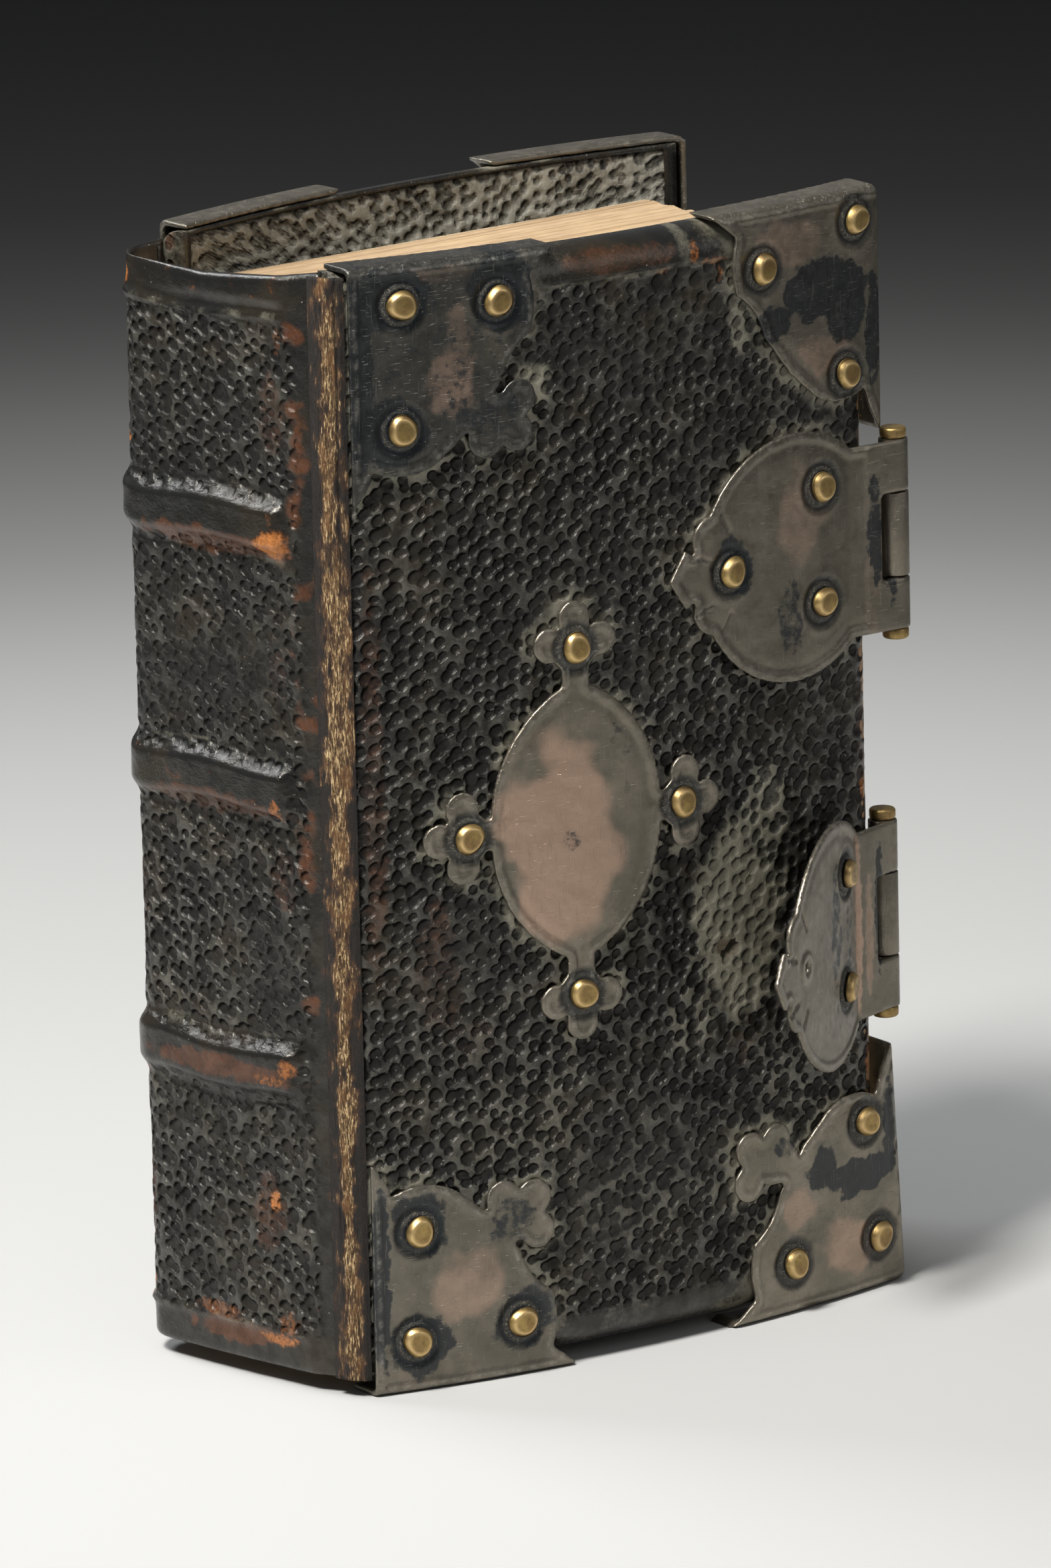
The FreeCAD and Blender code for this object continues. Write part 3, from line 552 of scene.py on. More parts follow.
def leather_finish(name, dust_colour=None):
    """Black grained leather: layer wear holds its worn places, layer grain the pits and plain parts. The
    pits' floors are painted darker as shade, and one side of each pit gets a painted shadow.
    """
    f = Finish(name)
    brown, tan, dust, gloss = f.layer("wear")
    near, plain, toward, keep = f.layer("grain")
    broad = f.noise(7.0, 4.0)
    middle = f.noise(1.7, 4.0, 0.6)
    fine = f.noise(0.42, 4.0, 0.68)
    tiny = f.noise(0.13, 2.0, 0.6)
    swing = fine - 0.5
    wide_swing = middle - 0.5
    ridge = f.step(near, 0.47, 0.64)
    pit = (1.0 - ridge) * keep
    crescent = f.step(toward, 0.56, 0.74) * f.step(near, 0.66, 0.52) * f.step(keep, 0.1, 0.6)
    worn_ridge = ridge * f.step(keep, 0.2, 0.7) * f.step(middle, 0.35, 0.75)
    colour = f.mix(f.step(broad, 0.42, 0.70), paint("leather"), (0.018, 0.014, 0.009))
    # Painted shade: the pits' floors are coloured darker than the ridges
    colour = f.mix(pit * f.step(broad, 0.60, 0.35, 0.35, 1.0), colour, paint("pit"))
    colour = f.mix(worn_ridge * f.step(broad, 0.30, 0.62, 0.08, 0.55), colour, (0.095, 0.093, 0.078))
    brown_mask = f.step(brown + (swing * 0.6 + wide_swing * 0.9), 0.25, 1.05)
    colour = f.mix(brown_mask * 0.9, colour, paint("wear"))
    ragged = swing * 0.7 + wide_swing * 0.5
    tan_value = tan + ragged
    tan_high = f.step(tan_value, 0.50, 1.15) * f.step(tiny, 0.30, 0.55, 0.35, 1.0)
    scuffed = f.mix(f.step(fine, 0.35, 0.65), (0.045, 0.016, 0.006), (0.17, 0.060, 0.016))
    colour = f.mix(f.step(tan_value, 0.15, 0.75), colour, scuffed)
    colour = f.mix(tan_high, colour, paint("tan"))
    dust_value = dust + ragged - pit * 0.45
    dust_mask = f.step(dust_value, 0.12, 1.0) * 0.85
    colour = f.mix(dust_mask, colour, dust_colour or paint("dust"))
    crust = f.step(dust_value, 0.85, 1.35) * f.step(tiny, 0.40, 0.60, 0.15, 0.75)
    colour = f.mix(crust, colour, (0.33, 0.305, 0.235))
    specks = f.step(f.cells(0.8), 0.13, 0.06) * f.step(f.noise(2.4, 2.0), 0.54, 0.64)
    colour = f.mix(specks * 0.45, colour, (0.34, 0.32, 0.28))
    shadow = 1.0 - crescent * 0.88
    colour = f.mix(shadow, (0.0015, 0.0014, 0.0012), colour)
    rough = f.step(fine, 0.2, 0.8, 0.19, 0.38) - plain * 0.06 - gloss * 0.10 + pit * 0.26 + dust_mask * 0.35
    rough = f.math("ADD", rough, tan_high * 0.15, clamp=True)
    shine = (f.step(middle, 0.3, 0.7, 0.36, 0.68) - pit * 0.20) * shadow
    under = f.bump(f.step(near, 0.34, 0.66) * keep, 0.26, 0.9)
    under = f.bump(wide_swing, 0.16, 0.6, under)
    normal = f.bump(fine * 0.6 + tiny * 0.4, 0.085, 0.8, under)
    f.set(Base_Color=colour, Roughness=rough, Normal=normal, Specular_IOR_Level=shine,
          Specular_Tint=(1.0, 0.96, 0.88, 1.0))
    return f.material


def fibre_finish():
    """Frayed leather of the joint: layer wear holds the splits, painted dark as shade, and the tan fibres.
    """
    f = Finish("frayed_leather")
    split_shade, tan, _, _ = f.layer("wear")
    strands = f.noise(0.20, 5.0, 0.7, stretch=(0.8, 0.8, 4.5), distortion=0.4)
    clumps = f.noise(1.5, 4.0, 0.65, stretch=(1.0, 1.0, 2.2))
    grains = f.noise(0.11, 3.0, 0.6)
    dark = f.mix(f.step(grains, 0.45, 0.75), (0.010, 0.009, 0.008), (0.040, 0.026, 0.016))
    light = f.mix(f.step(strands, 0.40, 0.58), (0.034, 0.019, 0.009), (0.20, 0.118, 0.052))
    light = f.mix(f.step(strands, 0.52, 0.63), light, (0.62, 0.46, 0.25))
    light = f.mix(f.step(grains, 0.44, 0.28), light, (0.020, 0.012, 0.007))
    light = f.mix(f.step(clumps, 0.50, 0.66) * 0.7, light, (0.13, 0.060, 0.022))
    value = tan + ((strands - 0.5) * 1.2 + (clumps - 0.5) * 2.2)
    mask = f.step(value, 0.40, 0.72)
    colour = f.mix(f.step(value, 0.12, 0.50), dark, (0.060, 0.028, 0.012))
    colour = f.mix(mask, colour, light)
    # Painted shade: the splits between the fibres are coloured nearly black
    colour = f.mix(split_shade * 0.9, colour, (0.008, 0.006, 0.005))
    normal = f.bump(strands * 0.8 + grains * 0.4, 0.30)
    f.set(Base_Color=colour, Roughness=f.step(mask, 0.0, 1.0, 0.50, 0.9), Normal=normal,
          Specular_IOR_Level=0.32)
    return f.material


def metal_finish():
    """Tarnished sheet: layer tarnish holds its stains and a darkening that is painted shade with some grime,
    layer form the rim, which gets a painted highlight, and the rivets' rings.
    """
    f = Finish("tarnished_metal")
    blue, copper, grime, dark = f.layer("tarnish")
    rim, ring, _, _ = f.layer("form")
    broad = f.noise(5.0, 5.0, 0.6)
    fine = f.noise(0.9, 5.0, 0.65)
    tiny = f.noise(0.16, 2.0, 0.6)
    blotch = f.noise(1.9, 5.0, 0.7)
    scratch = f.noise(0.30, 2.0, 0.5, stretch=(0.35, 1.0, 9.0))
    scratch_two = f.noise(0.26, 2.0, 0.5, stretch=(7.0, 1.0, 0.45))
    swing = fine - 0.5
    colour = f.mix(f.step(broad, 0.36, 0.66), paint("metal"), (0.245, 0.215, 0.170))
    colour = f.mix(f.step(blotch, 0.52, 0.74) * 0.5, colour, (0.095, 0.090, 0.076))
    sooty = f.mix(f.step(fine, 0.3, 0.7), (0.040, 0.044, 0.044), (0.072, 0.072, 0.066))
    colour = f.mix(dark, colour, sooty)
    copper_mask = f.step(copper + (broad - 0.5) * 0.7, 0.2, 0.9) * 0.85
    colour = f.mix(copper_mask, colour, paint("copper"))
    blue_mask = f.step(blue + swing * 0.9 + (blotch - 0.5) * 0.9, 0.36, 0.66)
    colour = f.mix(blue_mask * 0.92, colour, f.mix(fine, paint("blue"), (0.056, 0.062, 0.064)))
    colour = f.mix(f.step(ring + swing * 0.5, 0.25, 0.9) * 0.82, colour, paint("blue"))
    # Painted shade with some grime: creases, the groove inside the rim, parts below the face and rivet feet
    # are darkened, rougher and less metallic
    shade_and_grime_mask = f.step(grime + swing * 0.9, 0.4, 0.9)
    shade_and_grime_colour = f.mix(f.step(tiny, 0.50, 0.68), (0.020, 0.018, 0.014), (0.15, 0.135, 0.095))
    colour = f.mix(shade_and_grime_mask * 0.8, colour, shade_and_grime_colour)
    # Painted highlight: the raised rim and the edge walls are coloured brighter
    rim_highlight = rim * f.step(fine, 0.40, 0.75)
    colour = f.mix(rim_highlight * 0.55, colour, (0.46, 0.43, 0.38))
    lines = f.math("MAXIMUM", f.step(scratch, 0.63, 0.70), f.step(scratch_two, 0.64, 0.71))
    colour = f.mix(lines * 0.16, colour, (0.46, 0.42, 0.36))
    rough = f.step(fine, 0.2, 0.8, 0.30, 0.48) - rim_highlight * 0.10
    rough = f.math("ADD", rough, shade_and_grime_mask * 0.25, clamp=True)
    metallic = f.math("SUBTRACT", 0.86, shade_and_grime_mask * 0.6, clamp=True)
    height = broad * 0.8 - lines * 0.25 + fine * 0.22 - blue_mask * 0.10
    f.set(Base_Color=colour, Metallic=metallic, Roughness=rough, Normal=f.bump(height, 0.16, 0.7))
    return f.material


def brass_finish():
    """Worn brass: layer form holds the rim, which gets a painted highlight, and the foot, which gets painted
    shade and a rougher finish.
    """
    f = Finish("worn_brass")
    rim, foot_shade, _, _ = f.layer("form")
    fine = f.noise(0.45, 4.0, 0.65)
    colour = f.mix(f.step(f.noise(1.6, 3.0), 0.3, 0.7), paint("brass"), (0.27, 0.175, 0.075))
    colour = f.mix(f.step(fine, 0.48, 0.75) * 0.6, colour, (0.12, 0.085, 0.042))
    # Painted highlight round the rim of each head
    colour = f.mix(rim * 0.7, colour, (0.78, 0.56, 0.27))
    # Painted shade at the foot of each head
    colour = f.mix(f.step(foot_shade, 0.15, 0.85), colour, (0.035, 0.03, 0.022))
    rough = f.math("ADD", f.step(fine, 0.2, 0.8, 0.30, 0.50), foot_shade * 0.3, clamp=True)
    f.set(Base_Color=colour, Metallic=0.9, Roughness=rough, Normal=f.bump(fine, 0.05, 0.5))
    return f.material


def paper_finish():
    """Page edges: layer page holds the dark lines between leaves, a darkening near the spine at the head and
    along the outer leaves, and the face of the outer leaf.
    """
    f = Finish("page_edges")
    line, grime, leaf, _ = f.layer("page")
    fine = f.noise(0.35, 4.0, 0.6, stretch=(6.0, 0.35, 6.0))
    broad = f.noise(6.0, 3.0)
    colour = f.mix(f.step(fine, 0.3, 0.7), (0.30, 0.205, 0.115), paint("paper"))
    colour = f.mix(f.step(broad, 0.35, 0.7) * 0.35, colour, (0.50, 0.36, 0.20))
    colour = f.mix(line * 0.70, colour, (0.15, 0.090, 0.042))
    colour = f.mix(grime * 0.75, colour, (0.16, 0.10, 0.05))
    colour = f.mix(leaf, colour, f.mix(f.step(broad, 0.4, 0.7), (0.74, 0.63, 0.44), (0.66, 0.53, 0.34)))
    f.set(Base_Color=colour, Roughness=0.85, Normal=f.bump(fine, 0.10, 0.6), Specular_IOR_Level=0.2)
    return f.material


def plain_finish(name, light, dark, size, roughness, stretch=(1.0, 1.0, 1.0), bump=0.1):
    """A matte surface of two colours mixed by stretched noise, for paper, wood and thread."""
    f = Finish(name)
    grain = f.noise(size, 5.0, 0.6, stretch=stretch)
    colour = f.mix(f.step(grain, 0.3, 0.7), dark, light)
    colour = f.mix(f.step(f.noise(size * 7, 3.0), 0.45, 0.75) * 0.45, colour, dark)
    f.set(Base_Color=colour, Roughness=roughness, Normal=f.bump(grain, bump, 0.6))
    return f.material


MATERIALS = {}


def material(name):
    """Each finish is made once, when the first piece asks for it."""
    if name not in MATERIALS:
        makers = {
            "leather": lambda: leather_finish("black_leather"),
            "dusty leather": lambda: leather_finish("dusty_leather", (0.32, 0.305, 0.25)),
            "fibre": fibre_finish,
            "metal": metal_finish,
            "brass": brass_finish,
            "pages": paper_finish,
            "endpaper": lambda: plain_finish("endpaper", (0.66, 0.56, 0.38), (0.55, 0.43, 0.26), 1.2, 0.85),
            "wood": lambda: plain_finish("board_wood", (0.26, 0.15, 0.07), (0.15, 0.08, 0.035), 0.8, 0.7,
                                         stretch=(1.0, 1.0, 9.0), bump=0.2),
            "cord": lambda: plain_finish("hemp_cord", (0.42, 0.33, 0.20), (0.26, 0.19, 0.10), 0.4, 0.9,
                                         stretch=(1.0, 2.5, 0.7), bump=0.2),
            "thread": lambda: plain_finish("headband_thread", (0.40, 0.30, 0.17), (0.17, 0.11, 0.06), 0.35,
                                           0.85, stretch=(4.0, 0.6, 4.0), bump=0.25),
        }
        MATERIALS[name] = makers[name]()
    return MATERIALS[name]


# Mounts, which also tell the leather where dust gathers

PLATE_X = 23.3
PLATE_Z = MOUNT_HEIGHT / 2 - 1.2
FLOWER_UP = 17.0
FLOWER_ASIDE = 12.0
UPPER_CLASP = (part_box("upper_clasp_pin")[0].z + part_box("upper_clasp_pin")[1].z) / 2 / MM
LOWER_CLASP = (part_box("lower_clasp_pin")[0].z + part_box("lower_clasp_pin")[1].z) / 2 / MM
BEND_X = MOUNT_WIDTH - 5.0
CLASP_FLOWER_X = BEND_X - 15.7
LIFT_ANGLE = math.radians(28.0)
LIFT_GAP = 0.3
CATCH_REACH = 8.6
CATCH_RIVET_INSET = 1.6
CATCH_RIVET_RISE = 2.4
CORNER_RIVETS = {
    "tail_spine": [(4.7, 5.1), (15.8, 5.4), (5.2, 15.9)],
    "head_spine": [(5.7, 3.9), (15.7, 4.6), (5.5, 15.9)],
    "head_fore": [(3.5, 3.0), (16.0, 5.8), (5.1, 17.8)],
    "tail_fore": [(2.4, 5.3), (14.2, 5.1), (4.1, 17.3)],
}
HEAD_HEIGHT = 0.86
HEAD_SLOPE = 0.36
HEAD_RING = 0.35
HEAD_RISE = 0.38
DUST_LINES = {FRONT: [], REAR: []}


def corner_rivets(name):
    """Places of a corner mount's rivets."""
    places = []
    for across, up in CORNER_RIVETS[name]:
        places.append((MOUNT_WIDTH - across if name.endswith("fore") else across,
                       MOUNT_HEIGHT - up if name.startswith("head") else up))
    return places


def centre_rivets():
    """Places of the rivets in a centre plate's four flowers."""
    return [(PLATE_X, PLATE_Z + FLOWER_UP), (PLATE_X, PLATE_Z - FLOWER_UP),
            (PLATE_X - FLOWER_ASIDE, PLATE_Z), (PLATE_X + FLOWER_ASIDE, PLATE_Z)]


def clasp_rivets(level):
    """Places of a hinge plate's rivets, the one in its flower last."""
    near = BEND_X - 3.8
    return [(near, level + 6.4), (near, level - 5.0), (CLASP_FLOWER_X, level)]


def catch_rivets(level):
    """Places of the two rivets of a catch."""
    across = MOUNT_WIDTH - CATCH_REACH + CATCH_RIVET_INSET
    return [(across, level + CATCH_RIVET_RISE), (across, level - CATCH_RIVET_RISE)]


def lift(points, back=False):
    """Points of the lower hinge plate turned up about its bend, or laid back down."""
    points = np.array(points, float)
    pivot = on_cover(np.array([BEND_X]), np.array([0.0]), 0.0)[0]
    angle = -LIFT_ANGLE if back else LIFT_ANGLE
    if back:
        points[..., 1] += LIFT_GAP
    dx = points[..., 0] - pivot[0]
    dy = points[..., 1] - pivot[1]
    points[..., 0] = pivot[0] + dx * math.cos(angle) - dy * math.sin(angle)
    points[..., 1] = pivot[1] + dx * math.sin(angle) + dy * math.cos(angle)
    if not back:
        points[..., 1] -= LIFT_GAP
    return points


TARNISH = {
    "front_corner_head_spine": {
        "blue": [(16.5, 106.0, 5.0, 4.5, 0.9), (4.5, 106.5, 5.5, 4.0, 0.9), (4.0, 94.0, 4.5, 5.0, 0.85),
                 (14.5, 95.0, 4.0, 3.5, 0.55), (1.5, 99.0, 1.6, 12.0, 0.9),
                 (9.0, 100.0, 12.0, 12.0, 0.42)],
        "copper": [(10.6, 98.2, 3.6, 4.2, 0.55), (11.4, 102.6, 2.2, 3.6, 0.5), (9.0, 108.6, 6.0, 1.2, 0.4)]},
    "front_corner_tail_spine": {
        "blue": [(16.0, 5.5, 4.0, 4.0, 0.75), (5.0, 5.0, 4.2, 4.2, 0.75), (5.0, 16.0, 4.2, 4.2, 0.8),
                 (15.0, 15.5, 3.5, 3.0, 0.55), (1.2, 12.0, 1.3, 12.0, 0.8)],
        "copper": [(10.5, 10.0, 5.5, 4.5, 0.50), (7.0, 1.8, 6.0, 2.0, 0.3)]},
    "front_corner_head_fore": {
        "blue": [(54.0, 101.0, 7.5, 3.2, 0.95), (58.0, 98.5, 4.0, 4.0, 0.9), (48.0, 98.5, 3.0, 2.2, 0.75),
                 (61.5, 96.0, 1.5, 7.0, 0.8)],
        "copper": [(50.0, 106.0, 6.0, 3.0, 0.5), (55.0, 94.5, 5.0, 2.5, 0.55)]},
    "front_corner_tail_fore": {
        "blue": [(57.5, 12.0, 6.5, 2.4, 0.95), (52.5, 13.5, 3.0, 2.8, 0.75), (48.0, 17.0, 2.5, 1.5, 0.6),
                 (62.0, 16.0, 1.3, 6.0, 0.7)],
        "copper": [(56.0, 5.5, 5.0, 4.0, 0.6), (49.0, 10.5, 3.0, 3.0, 0.5)]},
    "front_centre_plate": {
        "blue": [(28.5, 61.0, 2.5, 4.0, 0.35), (22.5, 52.0, 1.2, 1.6, 0.45)],
        "copper": [(21.5, 53.0, 8.0, 11.5, 1.0)]},
    "upper_clasp_plate": {
        "blue": [(49.5, 69.5, 2.0, 5.0, 0.5), (CLASP_FLOWER_X, UPPER_CLASP, 3.6, 3.6, 0.8),
                 (60.5, 76.0, 1.2, 7.0, 0.7), (62.5, 72.0, 0.7, 5.0, 0.7)],
        "copper": [(51.0, 79.0, 5.0, 6.0, 0.5), (60.0, 70.0, 1.5, 5.0, 0.4)]},
    "lower_clasp_plate": {
        "blue": [(50.5, 38.0, 2.0, 9.0, 0.55), (55.0, 36.0, 1.5, 9.0, 0.5), (61.0, 38.0, 1.0, 8.0, 0.75)],
        "copper": [(BEND_X, 37.0, 0.8, 11.0, 0.9), (59.3, 36.0, 0.9, 8.0, 0.6)]},
}
DARKNESS = {"front_corner_head_spine": 0.80, "front_corner_tail_spine": 0.28, "upper_clasp_plate": 0.15,
            "front_corner_head_fore": 0.12}
CREASES = {
    "upper_clasp_plate": [((37.0, 77.3), (39.3, 76.7)), ((37.1, 71.4), (39.6, 72.3)),
                          ((41.9, 79.2), (40.9, 81.0)), ((41.9, 71.2), (40.9, 69.6))],
    "lower_clasp_plate": [((37.0, 39.1), (39.3, 38.5)), ((37.1, 33.2), (39.6, 34.1)),
                          ((41.9, 41.0), (40.9, 42.8)), ((41.9, 33.0), (40.9, 31.4))],
}
REAR_TARNISH = {
    "blue": [(12.0, 100.0, 7.0, 6.0, 0.6), (52.0, 9.0, 7.0, 6.0, 0.6), (23.0, 50.0, 5.0, 8.0, 0.5),
             (50.0, 100.0, 6.0, 5.0, 0.6), (10.0, 8.0, 6.0, 5.0, 0.6)],
    "copper": [(9.0, 103.0, 6.0, 5.0, 0.5), (22.0, 56.0, 7.0, 9.0, 0.7), (56.0, 12.0, 5.0, 6.0, 0.5)],
}


def dress_plate(name, side, body, rivet_places, step, lifted=False):
    """A mount from its CAD node: finely remeshed, with a raised rim and dished by its rivets."""
    piece = copy_node(name, "dressed")
    apply_modifier(piece, "REMESH", mode="VOXEL", voxel_size=step * MM, adaptivity=0.0)
    apply_modifier(piece, "SMOOTH", factor=0.5, iterations=3)
    book = to_book(vertices(piece))
    x, z, rise = cover_place(lift(book, back=True) if lifted else book, side)
    tip = book + normals(piece) * PROBE
    rise_tip = cover_place(lift(tip, back=True) if lifted else tip, side)[2]
    facing = (rise_tip - rise) / PROBE
    flat = (rise > -0.35) & (facing > 0.8) & (rise < 0.4)
    wall = (np.abs(facing) < 0.55) & (rise > -0.5) & (rise < 0.4)
    if lifted:
        flat &= x < BEND_X
        wall &= x < BEND_X - 0.6
    edge = np.zeros(len(x))
    edge[flat] = nearest(x[flat], z[flat], list(zip(x[wall], z[wall])))
    bolt = np.full(len(x), 9.0)
    for px, pz in rivet_places:
        bolt = np.minimum(bolt, np.hypot(x - px, z - pz))
    dish = 0.15 * smooth(0.70, 1.15, edge) - 0.06 * smooth(1.2, 2.2, edge)
    pucker = 0.10 * bell(bolt, 2.15, 0.38) - 0.05 * bell(bolt, 2.9, 0.4)
    uneven = 0.07 * clouds(x, z, 4.5, 2.0) + 0.03 * clouds(x, z, 1.4, 6.0)
    crease = np.zeros(len(x))
    for (ax, az), (bx, bz) in CREASES.get(name, []):
        share = ((x - ax) * (bx - ax) + (z - az) * (bz - az)) / ((bx - ax) ** 2 + (bz - az) ** 2)
        share = np.clip(share, 0, 1)
        apart = np.hypot(x - ax - share * (bx - ax), z - az - share * (bz - az))
        crease = np.maximum(crease, bell(apart, 0.0, 0.22))
    worn = 0.05 * (1 - smooth(0.0, 0.35, edge)) + 0.22 * crease
    down = np.where(flat, dish * (bolt > 1.9) + pucker + worn + 0.06 + uneven * 0.8, 0.0)
    direction = cover_direction(x, side, lifted)
    place_vertices(piece, to_frame(book - direction * np.clip(down, 0, 0.30)[:, None]))
    # rim: where the metal gets a painted highlight, along the raised rim and the edge walls
    rim = flat * bell(edge, 0.50, 0.20) + wall * 0.7
    groove_shade = flat * bell(edge, 1.15, 0.28) * smooth(-0.6, 0.3, clouds(x, z, 4.0, 14.0))
    ring = flat * (1 - smooth(2.0, 3.6, bolt)) * 0.9
    table = TARNISH.get(name, {"blue": [], "copper": []}) if side == FRONT else REAR_TARNISH
    blue = spots(x, z, table["blue"], 3.0)
    copper = spots(x, z, table["copper"], 8.0)
    inside = rise < -0.75
    # Painted shade on the metal, partly grime: creases, the groove inside the rim, the parts below the face
    # and a ring round each rivet's foot
    grime = np.clip(crease * 0.9 + groove_shade * 0.60 + inside * 0.4 + 0.62 * bell(bolt, 1.85, 0.35), 0, 1)
    dark = blue * 0 + 0.2
    if side == FRONT:
        dark = DARKNESS.get(name, 0.0) * smooth(-1.2, 0.2, clouds(x, z, 6.0, 17.0))
    write_layer(piece, "tarnish", blue, copper, grime, dark)
    write_layer(piece, "form", rim, ring)
    shade(piece)
    if not lifted:
        DUST_LINES[side].extend(zip(x[wall][::3], z[wall][::3]))
    return finish(piece, material("metal"), body, "tarnished_metal", [name])


def cover_direction(x, side, lifted=False):
    """Outward direction at each x of a cover."""
    here = on_cover(x, x * 0, 0.0)
    out = on_cover(x, x * 0, 1.0)
    if lifted:
        here, out = lift(here), lift(out)
    return to_side(out, side) - to_side(here, side)


def rivet_heads(name, places, side, body, node, lifted=False, seed=0):
    """Flat-topped bevelled heads on a mount, each a little different from the next."""
    radius = mm("rivet") * MM
    height = HEAD_HEIGHT * MM
    heads = []
    for number, (px, pz) in enumerate(places):
        deselect()
        bpy.ops.mesh.primitive_cylinder_add(vertices=40, radius=radius, depth=height, location=(0, 0, 0))
        head = bpy.context.object
        bpy.ops.object.mode_set(mode="EDIT")
        bpy.ops.mesh.select_all(action="DESELECT")
        bpy.ops.object.mode_set(mode="OBJECT")
        for face in head.data.polygons:
            face.select = face.normal.z > 0.9
        bpy.ops.object.mode_set(mode="EDIT")
        bpy.ops.mesh.inset(thickness=HEAD_SLOPE * MM)
        bpy.ops.transform.translate(value=(0, 0, 0.02 * MM))
        bpy.ops.mesh.inset(thickness=HEAD_RING * MM)
        bpy.ops.mesh.inset(thickness=HEAD_RING * MM)
        bpy.ops.object.mode_set(mode="OBJECT")
        co = vertices(head)
        reach = np.hypot(co[:, 0], co[:, 1])
        top = co[:, 2] > 0
        rim = top & (reach > radius * 0.98)
        co[rim, 2] -= height * 0.52
        place_vertices(head, co)
        apply_modifier(head, "BEVEL", width=0.14 * MM, segments=3, limit_method="ANGLE", angle_limit=0.35)
        co = vertices(head) / MM
        reach = np.hypot(co[:, 0], co[:, 1])
        turn = np.arctan2(co[:, 1], co[:, 0])
        wobble = 1 + 0.05 * np.sin(2 * turn + number * 2.1 + seed)
        wobble = wobble + 0.03 * np.sin(3 * turn + number + seed * 2)
        co[:, 0] *= wobble
        co[:, 1] *= wobble
        tilt = 0.11 * np.cos(turn + number * 1.7 + seed) * reach * (co[:, 2] > 0)
        co[:, 2] -= np.clip(tilt, 0, 1) + 0.05 * (reach / 1.5) ** 2 * (co[:, 2] > 0)
        level = co[:, 2]
        # Where each head gets a painted highlight on its rim and painted shade at its foot
        head_rim_highlight = bell(reach, 1.12, 0.16) * (level > 0.1)
        foot_shade = 1 - smooth(-0.40, -0.12, level)
        around = np.array([px, pz])
        centre = on_cover(around[:1], around[1:], HEAD_RISE)[0]
        out = on_cover(around[:1], around[1:], HEAD_RISE + 1)[0] - centre
        along = np.array([-out[1], out[0], 0.0])
        up = np.array([0.0, 0.0, 1.0])
        book = centre + co[:, :1] * along * -1 + co[:, 1:2] * up + co[:, 2:] * out
        if lifted:
            book = lift(book)
        place_vertices(head, to_frame(to_side(book, side)))
        write_layer(head, "form", head_rim_highlight, foot_shade)
        heads.append(head)
    piece = join(heads, name)
    edit_all(piece, normals_out)
    shade(piece, 40)
    return finish(piece, material("brass"), body, "rivet_brass", [node])


def soft_copy(node, body, slot, finish_name, width, layer):
    """A CAD node with rounded edges, for pins and arms."""
    piece = copy_node(node, "soft")
    edit_all(piece, lambda: bpy.ops.mesh.dissolve_limited(angle_limit=math.radians(2)))
    apply_modifier(piece, "BEVEL", width=width * MM, segments=3, limit_method="ANGLE", angle_limit=0.7)
    shade(piece, 40)
    values = np.zeros(len(piece.data.vertices))
    write_layer(piece, layer, values + 0.1, values + 0.15, values, values + 0.1)
    return finish(piece, material(finish_name), body, slot, [node])


# Leather of the covers

def folded(value, low, high, low_round, high_round):
    """A length that runs over a rounded edge: the place along the face and the depth below it."""
    place = value.copy()
    deep = np.zeros_like(value)
    for sign, limit, radius in ((1, high, high_round), (-1, low, low_round)):
        past = sign * (value - (limit - sign * radius))
        quarter = math.pi * radius / 2
        angle = np.clip(past, 0, quarter) / radius
        over = past > 0
        straight = np.clip(past - quarter, 0, None)
        place = np.where(over, limit - sign * radius + sign * radius * np.sin(angle), place)
        deep = np.where(over, radius * (1 - np.cos(angle)) + straight, deep)
    return place, deep


BORDER_HEAD = 105.7
BORDER_TAIL = 5.2
BORDER_FORE = 55.8
BORDER_WIDE = 0.28
RUBBED_PLACE = (42.0, 41.0)
RUBBED_SIZE = (6.0, 11.0)
TEAR_PLACE = (41.0, 38.3)
TEAR_SIZE = (1.6, 0.9)
DEEPEST_PIT = 0.44
LINING_DEPTH = 0.48
DUST_SPOTS = [(19.0, 96.5, 3.0, 3.5, 1.0), (42.5, 41.0, 6.5, 11.5, 1.15), (46.0, 50.0, 4.5, 6.0, 0.85),
              (37.0, 33.0, 4.0, 6.0, 0.60), (44.0, 100.5, 2.0, 6.0, 0.8), (55.0, 86.0, 4.0, 3.0, 0.3),
              (37.5, 108.0, 1.0, 3.0, 0.5)]
BROWN_SPOTS = [(30.0, 107.5, 9.0, 1.6, 0.50), (41.0, 38.5, 2.5, 1.6, 0.9), (8.0, 40.0, 3.0, 9.0, 0.45),
               (60.0, 55.0, 1.5, 12.0, 0.5), (12.0, 33.0, 4.0, 5.0, 0.35), (43.0, 29.0, 3.5, 3.5, 0.4),
               (60.5, 23.0, 1.3, 3.0, 0.9), (2.0, 60.0, 1.6, 30.0, 0.5), (20.0, 2.4, 14.0, 1.2, 0.3)]
TAN_SPOTS = [(38.5, 107.0, 0.7, 1.5, 0.65), (41.0, 105.8, 2.6, 0.35, 0.75), (41.6, 104.6, 0.4, 1.2, 0.6),
             (60.3, 22.5, 0.8, 2.5, 0.95), (59.8, 50.5, 0.7, 1.6, 0.8), (40.5, 38.3, 1.0, 0.5, 0.7),
             (34.5, 105.7, 1.6, 0.3, 0.55), (60.6, 30.0, 0.5, 2.5, 0.6)]


def lined(face, lining, brown, name, body, node):
    """One piece of grained leather from its face and its plain lining."""
    blank = np.zeros(len(lining.data.vertices))
    write_layer(lining, "wear", blank + brown)
    write_layer(lining, "grain", blank + 1.0)
    piece = close_back(face, lining, name)
    shade(piece)
    return finish(piece, material("leather"), body, "black_leather", [node])


